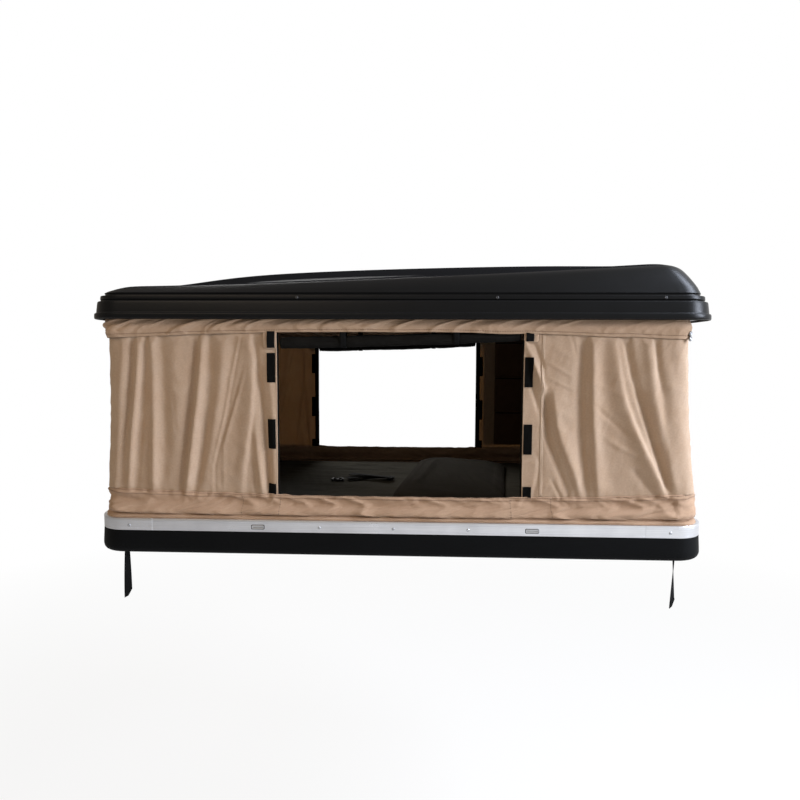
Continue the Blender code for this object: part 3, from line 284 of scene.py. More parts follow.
def plan(half_x, half_y, radius, along_x, along_y, corner_steps=10):
    """Points and outward normals round a rounded rectangle, anticlockwise from the near right corner.
    Each corner is a quarter circle, and the stations lie between the corners' ends."""
    quarter = np.linspace(0, np.pi / 2, corner_steps + 1)
    points, normals = [], []
    sides = ((1, -1, along_y, 1), (1, 1, along_x, 0), (-1, 1, along_y, 1), (-1, -1, along_x, 0))
    for turn, (sx, sy, marks, axis) in enumerate(sides):
        angle = quarter + (turn - 1) * np.pi / 2
        normal = np.stack([np.cos(angle), np.sin(angle)], 1)
        points.append((sx * (half_x - radius), sy * (half_y - radius)) + radius * normal)
        normals.append(normal)
        reach = (half_x, half_y)[axis] - radius
        direction = (1, -1, -1, 1)[turn]
        side = np.zeros((len(marks), 2))
        side[:, axis] = np.sort(marks)[::direction] * reach
        side[:, 1 - axis] = (half_y, half_x)[axis] * (1, 1, -1, -1)[turn]
        points.append(side)
        normals.append(np.tile(normal[-1], (len(marks), 1)))
    return np.concatenate(points), np.concatenate(normals)


check, _ = plan(1.0, 0.6, 0.1, stations(5), stations(3), 4)
print("plan loop:", len(check), "points")

# %% [markdown]
# ## Folds and wrinkles
#
# Cloth under a lid that has just risen keeps the folds it was packed in. A cloth simulation
# could find some, but not the ones in the photograph. So each fold is drawn as a line on the
# cloth, further down, and seeded noise adds the small wrinkles between them.


# %% Noise on cloth
def noise(u, v, cell_u, cell_v, seed):
    """Value noise: random heights from -1 to 1 on a lattice of cells, joined by smooth steps."""
    lattice = np.random.default_rng(seed).uniform(-1, 1, (97, 89))
    x, y = np.asarray(u) / cell_u + 31.0, np.asarray(v) / cell_v + 37.0
    i, j = np.floor(x).astype(int), np.floor(y).astype(int)
    fx, fy = x - i, y - j
    fx, fy = fx * fx * (3 - 2 * fx), fy * fy * (3 - 2 * fy)
    corner = [[lattice[(i + a) % 97, (j + b) % 89] for b in (0, 1)] for a in (0, 1)]
    low = corner[0][0] * (1 - fx) + corner[1][0] * fx
    high = corner[0][1] * (1 - fx) + corner[1][1] * fx
    return low * (1 - fy) + high * fy


def creases(height, level, *where):
    """Sharp creases: noise folded at nothing, so that its zero lines stand up by level."""
    return height * (level - np.abs(noise(*where)))


print("noise at the origin:", round(float(noise(0.0, 0.0, 0.1, 0.1, 1)), 3))


# %% [markdown]
# ## Finishes
#
# Every finish starts from what the real surface is. A node tree could be built by hand for each,
# but they share their steps, so one function adds a node with its settings and links, and one
# turns an sRGB hex code into the linear colour that a shader expects.


# %% Colour and nodes
def linear(code):
    """sRGB hex to linear RGBA: the low end is divided by 12.92, the rest follows a 2.4 power."""
    channel = np.array([int(code[k:k + 2], 16) for k in (1, 3, 5)]) / 255
    return (*np.where(channel <= 0.04045, channel / 12.92, ((channel + 0.055) / 1.055) ** 2.4), 1.0)


def add(tree, kind, inputs=None, **settings):
    """A node with its settings; each input is a value or another node's output."""
    node = tree.nodes.new("ShaderNode" + kind)
    for key, value in settings.items():
        setattr(node, key, value)
    for key, value in (inputs or {}).items():
        if isinstance(value, bpy.types.NodeSocket):
            tree.links.new(value, node.inputs[key])
        else:
            node.inputs[key].default_value = value
    return node


def new_finish(name, roughness, **values):
    """A material with a Principled shader, whose constants are set on its own sockets."""
    material = bpy.data.materials.new(name)
    material.use_nodes = True
    tree = material.node_tree
    shader = tree.nodes["Principled BSDF"]
    shader.inputs["Roughness"].default_value = roughness
    for key, value in values.items():
        shader.inputs[key.replace("_", " ")].default_value = value
    return material, tree, shader


print("#808080 in linear light:", round(float(linear("#808080")[0]), 3))


# %% Steps that the node trees share
def ramp(tree, value, source, result=(0.0, 1.0)):
    """One range of values mapped onto another."""
    names = ("Value", "From Min", "From Max", "To Min", "To Max")
    return add(tree, "MapRange", dict(zip(names, (value, *source, *result)))).outputs["Result"]


def mixed(tree, share, first, second):
    """Two colours mixed by a share."""
    return add(tree, "Mix", {0: share, 6: first, 7: second}, data_type="RGBA").outputs[2]


def combined(tree, operation, first, second):
    """One step of arithmetic on two values."""
    return add(tree, "Math", {0: first, 1: second}, operation=operation).outputs["Value"]


def clouded(tree, place, scale, detail, **more):
    """Soft noise, with its scale in cells a metre."""
    return add(tree, "TexNoise", {"Vector": place, "Scale": scale, "Detail": detail, **more}).outputs["Fac"]


def drive(tree, shader, **outputs):
    """Outputs linked to the shader's sockets of the same names."""
    for key, output in outputs.items():
        tree.links.new(output, shader.inputs[key.replace("_", " ")])


def bumped(tree, height, strength, distance):
    """The normal that a height map gives, with the height in metres."""
    return add(tree, "Bump", {"Height": height, "Strength": strength, "Distance": distance}).outputs["Normal"]


steps = (ramp, mixed, combined, clouded, drive, bumped)
print("steps for every finish:", ", ".join(step.__name__ for step in steps))

# %% [markdown]
# ### Canvas
#
# The walls are poly-cotton canvas: a plain weave of matt yarn with a faint nap, which gives soft
# shading with no gloss. Its threads are about 0.5 mm apart, and a pixel covers about 3 mm here. So
# the weave is drawn at 2.2 mm, and shows as a soft grain. Colour drifts a little where the cloth
# was folded and rubbed.


# %% Canvas and other woven cloth
def woven(name, colour, worn, thread=0.0022, roughness=0.9, relief=0.35, patch=0.12, drift=0.5, glow=0.0,
          nap=0.01, specular=0.03):
    """Warp and weft are two sine bands across the UV map, in metres; their sum is the bump. Glow is how
    much light passes through the cloth, which warms the inner faces of the walls."""
    material, tree, shader = new_finish(
        name, roughness, Subsurface_Weight=glow, Subsurface_Radius=(0.0060, 0.0052, 0.0042),
        Subsurface_Scale=1.0, Sheen_Weight=nap, Sheen_Roughness=0.6, Specular_IOR_Level=specular)
    uv = add(tree, "TexCoord").outputs["UV"]
    yarn = {"Vector": uv, "Scale": 0.314 / thread}
    warp, weft = (add(tree, "TexWave", yarn, bands_direction=axis).outputs["Fac"] for axis in "XY")
    clouds = clouded(tree, uv, 1 / patch, 5.0, Roughness=0.6)
    tint = mixed(tree, ramp(tree, clouds, (0.35, 0.65), (0.0, drift)), linear(colour), linear(worn))
    shade = ramp(tree, clouded(tree, uv, 0.35 / thread, 2.0), (0.3, 0.7), (0.94, 1.05))
    lit = add(tree, "VectorMath", {0: tint, "Scale": shade}, operation="SCALE").outputs["Vector"]
    normal = bumped(tree, combined(tree, "ADD", warp, weft), relief, thread / 4)
    drive(tree, shader, Base_Color=lit, Normal=normal)
    return material


canvas = woven("poly_cotton_canvas", "#B0967D", "#B8A18A", glow=0.20, nap=0.06, specular=0.15)
# The lower band's copy of the canvas is darker and browner: painted shade.
shaded_foot_canvas = woven("poly_cotton_canvas_foot_painted_shade", "#AC8E74", "#B5997F", nap=0.06, specular=0.15)
# The upper band's copy of the canvas is darker: painted shade from the lid's lip above it.
lip_shaded_canvas = woven("poly_cotton_canvas_band_painted_shade", "#AC9177", "#B79C84", nap=0.06, specular=0.15)
# The roll's cloth is near black: the rolled door's dark mesh and cloth, and painted shade under the header.
dark_door_roll_cloth = woven("door_roll_cloth_painted_shade", "#141311", "#1D1C1A", roughness=0.7, drift=0.7)
lining = woven("brushed_cotton_lining", "#56504A", "#615B54", thread=0.003)
pocket_cloth = woven("pocket_polyester", "#5C4738", "#665040", thread=0.0025)
bedding = woven("brushed_polyester_ticking", "#3A372F", "#444138", thread=0.0024, patch=0.09)
cover_cloth = woven("brushed_polyester_cover", "#29251E", "#322D25", thread=0.0024, patch=0.09)
# The thread is darker than the canvas: the thread's own tone, and painted shade along the seam lines.
seam_shade_thread = woven("cotton_thread_painted_seam_shade", "#76604D", "#836C58", thread=0.002)
webbing = woven("nylon_webbing", "#121212", "#1B1B1B", thread=0.0035, roughness=0.7, relief=0.8)
hook_tape = woven("hook_and_loop_tape", "#0D0D0C", "#151413", thread=0.003, roughness=1.0, relief=1.0)
piping = woven("cotton_binding", "#0E0D0C", "#171513", thread=0.002)
carpet = woven("needle_felt_carpet", "#4A4843", "#56534D", thread=0.005, roughness=1.0, relief=1.0)
print("woven finishes:", len([m for m in bpy.data.materials if m.use_nodes]))

# %% [markdown]
# ### Moulded plastic
#
# Lid and tray are vacuum-formed ABS with a fine pebble grain from the sheet. The grain breaks up
# reflections, so the black looks satin and its highlights are wide. Grain cells are about
# 0.8 mm on the real sheet and are drawn at 3 mm, or none would show. On the lid, what looks up has
# no shine and is painted greyer instead: a painted sheen in place of its reflection.


# %% Pebbled ABS, rubber and nylon
def moulded(name, colour, dusty, roughness, grain=0.003, relief=0.25, specular=0.35, painted_top_sheen=0.0):
    """Cells of a Voronoi pattern, softened by noise, on object coordinates in metres. Faces that look up
    lose their shine and are greyed, a painted sheen: it is a ramp on the upward part of the normal."""
    material, tree, shader = new_finish(name, roughness, Specular_IOR_Level=specular)
    place = add(tree, "TexCoord").outputs["Object"]
    voronoi = {"Vector": place, "Scale": 1 / grain}
    cells = add(tree, "TexVoronoi", voronoi, feature="SMOOTH_F1").outputs["Distance"]
    clouds = clouded(tree, place, 6.0, 6.0, Roughness=0.65)
    tint = mixed(tree, clouds, linear(colour), linear(dusty))
    if painted_top_sheen:
        facing = add(tree, "SeparateXYZ", {"Vector": add(tree, "NewGeometry").outputs["Normal"]}).outputs["Z"]
        shine = ramp(tree, facing, (0.72, 0.94), (specular, specular * (1 - painted_top_sheen)))
        drive(tree, shader, Specular_IOR_Level=shine)
        # the greyer colour on faces that look up is a painted sheen
        tint = mixed(tree, ramp(tree, facing, (0.72, 0.98), (0.0, painted_top_sheen * 0.7)), tint, linear("#232324"))
    rough = ramp(tree, clouds, (0.0, 1.0), (roughness - 0.05, roughness + 0.06))
    drive(tree, shader, Base_Color=tint, Roughness=rough, Normal=bumped(tree, cells, relief, grain / 6))
    return material


lid_abs = moulded("vacuum_formed_abs_lid", "#08090A", "#0E0F10", 0.33, specular=0.14, painted_top_sheen=1.0)
tray_abs = moulded("vacuum_formed_abs_tray", "#08090A", "#0E0F10", 0.55, specular=0.06)
seal_rubber = moulded("extruded_rubber", "#101010", "#191817", 0.75, grain=0.002, specular=0.2)
roller_nylon = moulded("turned_nylon", "#CFCBC0", "#DAD6CC", 0.42, grain=0.004, relief=0.08, specular=0.5)
buckle_acetal = moulded("moulded_acetal", "#0F0F10", "#18181A", 0.5, grain=0.002, relief=0.1, specular=0.12)

print("with moulded finishes:", len(bpy.data.materials))

# %% [markdown]
# ### Metals
#
# The band is extruded aluminium, satin anodised: drawing it through the die leaves faint lines
# along its length, so its shine is streaked. The scissors are powder-coated steel, which has an
# even orange-peel skin, and pins and fasteners are zinc-plated.


# %% Aluminium, zinc and powder coat
def drawn_metal(name, colour, dull, roughness, stretch, coordinate="Object"):
    """Noise squeezed across the drawing direction: stretch is how many streaks a metre on each axis."""
    material, tree, shader = new_finish(name, roughness, Metallic=1.0)
    place = add(tree, "TexCoord").outputs[coordinate]
    squeezed = add(tree, "Mapping", {"Vector": place, "Scale": stretch}).outputs["Vector"]
    streaks = clouded(tree, squeezed, 1.0, 3.0)
    spread = ramp(tree, combined(tree, "MULTIPLY", streaks, clouded(tree, place, 9.0, 5.0)), (0.12, 0.4))
    rough = ramp(tree, spread, (0.0, 1.0), (roughness + 0.08, roughness - 0.04))
    drive(tree, shader, Base_Color=mixed(tree, spread, linear(dull), linear(colour)), Roughness=rough,
          Normal=bumped(tree, streaks, 0.12, 0.0004))
    return material


band_aluminium = drawn_metal("anodised_aluminium_band", "#ECEEF3", "#D0D2D7", 0.30, (3.0, 420.0, 420.0), "UV")
rail_aluminium = drawn_metal("mill_aluminium_extrusion", "#C9CACC", "#A9AAAC", 0.36, (4.0, 500.0, 500.0))
cross_aluminium = drawn_metal("mill_aluminium_across", "#C4C5C7", "#A5A6A8", 0.38, (500.0, 4.0, 500.0))
zinc = drawn_metal("zinc_plated_steel", "#B9BBBF", "#8F9296", 0.3, (150.0, 150.0, 150.0))
black_steel = moulded("powder_coated_steel", "#141415", "#1D1D1E", 0.42, grain=0.0025, relief=0.12,
                      specular=0.5)
print("finishes:", len(bpy.data.materials))

# %% [markdown]
# ## Closing straps
#
# Four nylon straps hang from the tray's corners. They are flat cords: 25 mm wide, 165 mm long,
# cut to a point, and they turn as they fall. A ribbon is rows of points across a centre line.

# %% Straps
STRAP_LENGTH, STRAP_WIDTH, STRAP_EXIT_Z = 0.165, 0.025, 0.030
STRAP_X, STRAP_Y = 0.916, 0.560
WEBBING_THICK = 0.0018


def hanging_strap(name, x, y):
    """Each row is turned about the upright, nearly edge on at the tray and more face on as it drops;
    the last rows slant to a point."""
    share = np.linspace(0, 1, 20)[:, None]
    across = np.linspace(-0.5, 0.5, 7)[None, :]
    turn = 1.40 - 0.85 * share
    slant = np.clip((share - 0.80) / 0.20, 0, 1) * (0.010 * (0.5 + across) + 0.034 * np.clip(across, 0, 1))
    reach = STRAP_WIDTH * across
    z = STRAP_EXIT_Z - STRAP_LENGTH * share + slant
    grid = np.stack([x + reach * np.cos(turn), y + reach * np.sin(turn), np.broadcast_to(z, (20, 7))], -1)
    ribbon = thicken(grid_piece(name + "_webbing", grid[::-1], webbing), WEBBING_THICK)
    settle(ribbon, "base", name, name)


SIDES, ENDS = ((-1, "near"), (1, "far")), ((-1, "low"), (1, "tall"))
for side, side_label in SIDES:
    for end, end_label in ENDS:
        hanging_strap(f"strap_{side_label}_{end_label}", end * STRAP_X, side * STRAP_Y)

# %% [markdown]
# ## The lid
#
# A vacuum-formed lid has no sharp edges: the sheet stretches over the mould and rounds them. So
# its side is a profile of (inset, height) points, rounded by cutting corners twice, carried
# round the plan. Above the shoulder the loops shrink to the middle on one height function.

# %% Heights of the lid
LID_WALL = 0.004
FOOT, SHOULDER_INSET, PANEL_INSET, PANEL_CORNER = 0.086, 0.140, 0.078, 0.070


def ridge_height(x):
    """The shoulder climbs from 117 mm at the nose to 193 mm at the tall end, on a 1.3 power."""
    half = HALF_LENGTH - SHOULDER_INSET
    return 0.117 + 0.076 * np.clip((x + half) / (2 * half), 0, 1) ** 1.3


def roof_height(x, y):
    """The crown: the shoulder's height plus a dome that is flat in the middle and falls off at the edges."""
    half_x, half_y = HALF_LENGTH - SHOULDER_INSET, HALF_WIDTH - SHOULDER_INSET
    share_x, share_y = np.clip(np.abs(x) / half_x, 0, 1), np.clip(np.abs(y) / half_y, 0, 1)
    middle = 0.230 - 0.055 * (0.5 - x / (2 * half_x)) ** 3
    low = ridge_height(x)
    return low + (middle - low) * (1 - share_x**7) * (1 - share_y**2.4)


print("roof above the lip in the middle:", round(float(roof_height(0.0, 0.0)), 3), "m")


# %% The lid shell
LID_SIDE = np.array([
    (0.0045, 0.0), (0.0, 0.001), (0.0, 0.016), (0.0022, 0.0195), (0.0068, 0.0205), (0.0070, 0.026),
    (0.0105, 0.054), (0.0120, 0.0580), (0.0185, 0.0590), (0.0225, 0.0585), (0.0220, 0.0625), (0.0195, 0.0640),
    (0.0205, 0.0740), (0.0212, 0.0762), (0.0225, 0.0768), (0.0335, 0.0766), (0.0352, 0.0772), (0.0356, 0.0800),
    (0.0350, 0.0838), (0.0330, FOOT),
])


def lid_loop(inset, height, along_x, along_y):
    """The lid's plan drawn in by inset; its height is a number, or depends on x."""
    out = 0.010 - inset
    radius = max(BASE_CORNER + out, PANEL_CORNER)
    points, _ = plan(HALF_LENGTH + out, HALF_WIDTH + out, radius, along_x, along_y, 12)
    return at_height(points, LIP_Z + (height(points[:, 0]) if callable(height) else height))


def panel(share):
    """Height of the side panel at a share of the way from its foot to the shoulder."""
    return lambda x: FOOT + (ridge_height(x) - FOOT) * share


def lid_shell():
    """Side loops from the rounded profile, panel loops whose heights are shares of the way from the
    foot to the shoulder, then loops of the shoulder scaled towards the middle on the crown."""
    along_x, along_y = stations(90), stations(46)
    loops = [lid_loop(inset, height, along_x, along_y) for inset, height in cut_corners(LID_SIDE, 2)]
    steps = np.array([(0.033, 0.0), (0.050, 0.34), (PANEL_INSET, 0.76), (0.094, 0.88), (0.109, 0.93),
                      (0.128, 0.985), (SHOULDER_INSET, 1.0)])
    for inset, share in cut_corners(steps, 2)[1:]:
        loops.append(lid_loop(inset, panel(share), along_x, along_y))
    shoulder = loops[-1][:, :2]
    for scale in np.concatenate([np.linspace(0.985, 0.80, 10), np.linspace(0.76, 0.04, 18)]):
        loops.append(at_height(shoulder * scale, LIP_Z + roof_height(*(shoulder * scale).T)))
    piece = thicken(lofted("lid_moulding", loops, lid_abs, (-1,)), LID_WALL, -1.0)
    return settle(sharpen(piece, 60), "lid", "lid_shell", "lid_shell")


lid_shell()

# %% [markdown]
# ## The tray and its band
#
# The tray is the same kind of moulding, upside down. The band on its rim is an extrusion, so it
# is one section carried round the plan, with shallow grooves that its die cut, and it is joined
# by butts where the corner pieces meet the straight lengths.

# %% Tray
TRAY_SIDE = np.array([
    (0.028, 0.0786), (0.006, 0.0786), (0.0032, 0.0780), (0.0030, 0.0750), (0.0, 0.025), (0.0008, 0.0165),
    (0.0035, 0.0095), (0.0085, 0.0042), (0.0160, 0.0012), (0.026, 0.0), (0.060, 0.0),
])


def tray():
    """Loops from the inward rim over the side and the rounded edge to the flat underside."""
    along_x, along_y = stations(70), stations(40)
    loops = []
    for inset, height in cut_corners(TRAY_SIDE, 1):
        corner = BASE_CORNER - min(inset, 0.06)
        points, _ = plan(HALF_LENGTH - inset, HALF_WIDTH - inset, corner, along_x, along_y)
        loops.append(at_height(points, BASE_Z + height))
    loops += [at_height(points * scale, BASE_Z) for scale in (0.9, 0.7, 0.4, 0.1)]
    piece = thicken(lofted("tray_moulding", loops[::-1], tray_abs, (0,)), 0.004, -1.0)
    return settle(sharpen(piece, 60), "base", "base_shell", "base_shell")


tray()

# %% Band
BAND_SECTION = np.array([
    (-0.0100, 0.0400), (-0.0010, 0.0400), (-0.0003, 0.0397), (0.0, 0.0390), (0.0, 0.0315), (-0.0007, 0.0311),
    (-0.0007, 0.0303), (0.0, 0.0299), (0.0, 0.0085), (-0.0007, 0.0081), (-0.0007, 0.0073), (0.0, 0.0069),
    (0.0, 0.0006), (-0.0006, 0.0), (-0.0250, 0.0), (-0.0250, 0.0030), (-0.0030, 0.0030), (-0.0030, 0.0370),
    (-0.0100, 0.0370), (-0.0100, 0.0400),
])
BUTT_X, BUTT_Y = 0.810, 0.400


def welded(piece):
    """Points that lie on each other are merged, which closes a section whose ends meet."""
    work = bmesh.new()
    work.from_mesh(piece.data)
    bmesh.ops.remove_doubles(work, verts=work.verts, dist=1e-6)
    work.to_mesh(piece.data)
    work.free()
    return piece


def band():
    """The section at every point of the plan, pushed in 0.6 mm in the 1 mm wide butts."""
    half_x, half_y, corner = HALF_LENGTH - 0.003, HALF_WIDTH - 0.003, BASE_CORNER - 0.003
    edges = np.array([-0.0011, -0.0005, 0.0005, 0.0011])
    marks_x = np.concatenate([s * BUTT_X + edges for s in (-1, 1)]) / (half_x - corner)
    marks_y = np.concatenate([s * BUTT_Y + edges for s in (-1, 1)]) / (half_y - corner)
    points, normals = plan(half_x, half_y, corner, stations(40, marks_x), stations(24, marks_y), 14)
    butt = (np.abs(np.abs(points[:, 0]) - BUTT_X) < 0.0006) & (np.abs(points[:, 1]) > half_y - 0.001)
    butt |= (np.abs(np.abs(points[:, 1]) - BUTT_Y) < 0.0006) & (np.abs(points[:, 0]) > half_x - 0.001)
    loops = []
    for out, height in BAND_SECTION[::-1]:
        sunk = np.where(butt & (out > -0.002), 0.0006, 0.0)
        loops.append(at_height(points + normals * (out - sunk)[:, None], BAND_Z + height))
    piece = lofted("band_extrusion", loops, band_aluminium, ())
    return settle(sharpen(welded(piece), 30), "base", "base_band", "base_band")


band()

# %% [markdown]
# ## The canvas walls
#
# From the edge of the near doorway the cloth goes round the end of the tent to the far doorway in
# one piece, so each end is one sheet. Its plan is two straights, two quarter circles and an
# end, and every row of it is that plan at one height.

# %% The sheet's plan
ROWS, END_LOW, END_TALL = 110, 0.972, 0.951
STRAIGHT, ACROSS = 100, 150
FOOT_GAP = 0.0008
FOOT_X, FOOT_Y = 0.992, 0.565
DRAWN_IN_X, DRAWN_IN_Y = 0.002, 0.004


def wall_line(share):
    """Half width of the walls at a share of their height, sill to frame: it is drawn in between."""
    return FOOT_Y + 0.0054 * share**3 - DRAWN_IN_Y * np.sin(np.pi * share)


def end_line(share, top):
    """Half length of the walls at a share of their height: it draws in a little faster over the lower half."""
    return FOOT_X + (top - FOOT_X) * share**0.75 - DRAWN_IN_X * np.sin(np.pi * share)


def sheet_plan(share, door_near, door_far, top):
    """Points, outward normals and lengths from the near doorway round the tall end (+X) to the far one."""
    half_y, reach = wall_line(share), end_line(share, top)
    quarter = np.linspace(0, np.pi / 2, 15)[1:-1]
    near_x = np.linspace(door_near, reach - CORNER, STRAIGHT)
    flat_y = np.linspace(-half_y + CORNER, half_y - CORNER, ACROSS)
    far_x = np.linspace(reach - CORNER, door_far, STRAIGHT)
    arc = np.stack([np.sin(quarter), -np.cos(quarter)], 1)
    back = arc[::-1] * (1, -1)
    points = np.concatenate([
        np.stack([near_x, np.full(STRAIGHT, -half_y)], 1), (reach - CORNER, -half_y + CORNER) + CORNER * arc,
        np.stack([np.full(ACROSS, reach), flat_y], 1), (reach - CORNER, half_y - CORNER) + CORNER * back,
        np.stack([far_x, np.full(STRAIGHT, half_y)], 1),
    ])
    normals = np.concatenate([
        np.tile((0.0, -1.0), (STRAIGHT, 1)), arc, np.tile((1.0, 0.0), (ACROSS, 1)), back,
        np.tile((0.0, 1.0), (STRAIGHT, 1)),
    ])
    return points, normals, lengths(points)


way_round = sheet_plan(0.0, NEAR_DOOR[1], FAR_DOOR[1], END_TALL)[2][-1]
print("round the tall end at the sill:", round(float(way_round), 3), "m")

# %% [markdown]
# ### Folds of the walls
#
# A fold hangs from the top to the sill, so its line is a distance from the doorway's edge that
# changes with height. Each entry has the widths on its near and far side, which are unequal where
# the fold leans over, and then (height, distance, depth) along it, all in millimetres. Negative
# depths are valleys.

# %% Folds, left and right of the doorway and round the ends
LOW_FOLDS = [
    ((20, 16), (530, 512, 5), (330, 533, 6), (215, 541, 5), (50, 545, 3)),
    ((11, 11), (530, 485, -6), (330, 503, -7), (215, 519, -6), (20, 536, -3)),
    ((13, 12), (530, 462, 8), (330, 479, 10), (180, 497, 11), (0, 504, 9)),
    ((13, 10), (530, 440, -5), (330, 458, -6), (180, 472, -6), (10, 486, -3)),
    ((12, 13), (530, 420, 6), (290, 421, 7), (140, 421, 10), (0, 419, 10)),
    ((20, 13), (530, 391, -3), (290, 386, -5), (140, 384, -5), (10, 392, -2)),
    ((32, 30), (530, 343, 4), (250, 343, 4), (100, 343, 0)),
    ((4, 5), (340, 357, 0), (310, 355, -1.5), (230, 347, -1.5), (190, 344, 0)),
    ((9, 16), (530, 264, -8), (350, 286, -9), (230, 302, -10), (0, 325, -8)),
    ((14, 11), (530, 247, 8), (350, 265, 9), (230, 281, 12), (0, 308, 10)),
    ((18, 13), (530, 226, -3), (350, 225, -5), (230, 243, -9), (100, 264, -10), (0, 284, -8)),
    ((20, 24), (530, 174, 5), (350, 192, 6), (230, 218, 6), (80, 246, 2)),
    ((4, 4), (530, 114, -1.6), (390, 148, -2.6), (260, 171, -2.8), (170, 195, -2.6), (90, 214, -1.6)),
    ((5, 4.5), (530, 121, 1.4), (390, 155, 2), (260, 178, 2.2), (170, 202, 2), (90, 221, 1)),
    ((4.2, 4.2), (440, 106, 0), (390, 114, 2.2), (270, 152, 2.6), (160, 183, 1.6)),
    ((4.5, 4.5), (420, 116, 0), (330, 143, -2), (210, 178, -2.2), (150, 193, 0)),
    ((8, 32), (530, 90, 5), (450, 77, 6), (310, 85, 8), (200, 98, 7), (90, 114, 6), (0, 122, 4)),
    ((10, 10), (530, 74, -3), (390, 62, -7), (300, 50, -10), (170, 37, -11), (0, 28, -9)),
    ((10, 10), (310, 81, 0), (200, 73, 5), (90, 61, 8), (0, 50, 7)),
    ((5, 6), (140, 92, 0), (100, 86, -4), (20, 74, -4)),
    ((12, 10), (470, 34, 2), (300, 14, 4), (40, 12, 3)),
]
TALL_FOLDS = [
    ((9, 9), (520, 0, 3), (445, 31, 8), (387, 55, 10), (345, 70, 5), (320, 75, 0)),
    ((7, 8), (510, 30, -3), (460, 53, -5), (410, 66, -1)),
    ((10, 9), (430, 18, -2), (360, 34, -7), (310, 48, -5), (250, 62, 0)),
    ((12, 9), (360, 71, 0), (330, 75, -8), (290, 80, -13), (200, 83, -12), (140, 105, -7), (70, 134, -7),
     (10, 152, -5)),
    ((10, 30), (370, 100, 0), (330, 103, 6), (260, 110, 9), (200, 121, 10), (140, 144, 9), (70, 172, 8),
     (0, 195, 7)),
    ((22, 9), (530, 200, -8), (350, 195, -10), (240, 199, -10), (120, 203, -9), (0, 214, -8)),
    ((10, 24), (530, 226, 8), (350, 229, 10), (240, 233, 9), (120, 239, 9), (0, 249, 7)),
    ((26, 12), (530, 292, 4), (350, 322, 7), (260, 353, 10), (180, 387, 12), (100, 424, 12), (10, 460, 8)),
    ((12, 14), (530, 330, -9), (400, 360, -9), (310, 390, -10), (230, 417, -12), (130, 447, -12),
     (10, 481, -8)),
    ((18, 18), (500, 407, 5), (350, 424, 6), (230, 458, 5), (110, 482, 3)),
    ((10, 11), (530, 430, -8), (420, 444, -6), (310, 466, -1)),
    ((20, 20), (530, 486, 1), (100, 500, 3)),
    ((12, 10), (310, 240, 0), (290, 248, -1.8), (250, 296, -2.4), (200, 349, -2.4), (170, 380, 0)),
    ((14, 18), (200, 280, 0), (180, 293, 2.2), (150, 342, 3), (125, 394, 1)),
    ((9, 9), (450, 70, 0), (440, 90, 1.6), (410, 140, 1.8), (390, 166, 0)),
    ((9, 9), (400, 80, 0), (385, 100, 1.4), (362, 150, 1.6), (350, 172, 0)),
    ((5, 5), (530, 154, -1.5), (490, 168, -2.2), (440, 176, 0)),
    ((5, 6), (70, 94, 0), (50, 102, -4), (0, 127, -5)),
    ((16, 14), (100, 366, 0), (80, 374, -5), (0, 436, -4)),
    ((6, 8), (160, 40, 0), (110, 62, -3), (20, 40, -2)),
]
END_FOLDS = [
    ((12, 30), (530, 700, 7), (300, 690, 9), (0, 668, 9)),
    ((14, 10), (530, 672, -6), (300, 662, -7), (0, 646, -6)),
    ((26, 12), (530, 850, 6), (300, 866, 9), (0, 900, 8)),
    ((12, 14), (530, 880, -6), (300, 900, -8), (0, 930, -7)),
    ((30, 30), (530, 1010, 4), (200, 1000, 5), (50, 990, 0)),
    ((10, 26), (530, 1150, 8), (300, 1134, 10), (0, 1100, 9)),
    ((14, 9), (530, 1122, -7), (300, 1106, -8), (0, 1074, -6)),
    ((24, 12), (530, 1290, 6), (300, 1312, 9), (0, 1345, 8)),
    ((11, 14), (530, 1318, -6), (300, 1342, -8), (0, 1374, -6)),
    ((10, 24), (530, 1470, 7), (300, 1460, 9), (0, 1440, 9)),
    ((14, 10), (530, 1440, -5), (300, 1430, -7), (0, 1412, -5)),
    ((10, 10), (420, 760, 0), (360, 800, 2.2), (200, 900, 2.4), (120, 960, 0)),
    ((10, 10), (400, 1230, 0), (340, 1200, 2.2), (160, 1100, 2.4), (80, 1050, 0)),
]
FOLD_DEPTH = 1.35


def metres(folds):
    """Every number of a fold table from millimetres to metres."""
    return [tuple(tuple(value / 1000 for value in part) for part in fold) for fold in folds]


LOW_FOLDS, TALL_FOLDS, END_FOLDS = map(metres, (LOW_FOLDS, TALL_FOLDS, END_FOLDS))
print("folds drawn:", len(LOW_FOLDS), "left,", len(TALL_FOLDS), "right,", len(END_FOLDS), "round the ends")


def mirrored(folds, length):
    """The far side repeats the near side's folds, measured back from the sheet's other end."""
    return [((far, near), *((z, length - a, h) for z, a, h in line)) for (near, far), *line in folds]


def folds_at(along, rise, folds):
    """Sum of bells across each fold's line, wider on one side than on the other, with the depth
    and the place read off the line at that height; the line's corners are cut to make a curve."""
    total = np.zeros(np.broadcast(along, rise).shape)
    for (near, far), *line in folds:
        z, a, height = cut_corners(np.array(line), 2)[::-1].T
        away = along - np.interp(rise, z, a)
        bell = np.exp(-(away / np.where(away < 0, near, far)) ** 2)
        total += np.interp(rise, z, height) * bell
    return FOLD_DEPTH * total


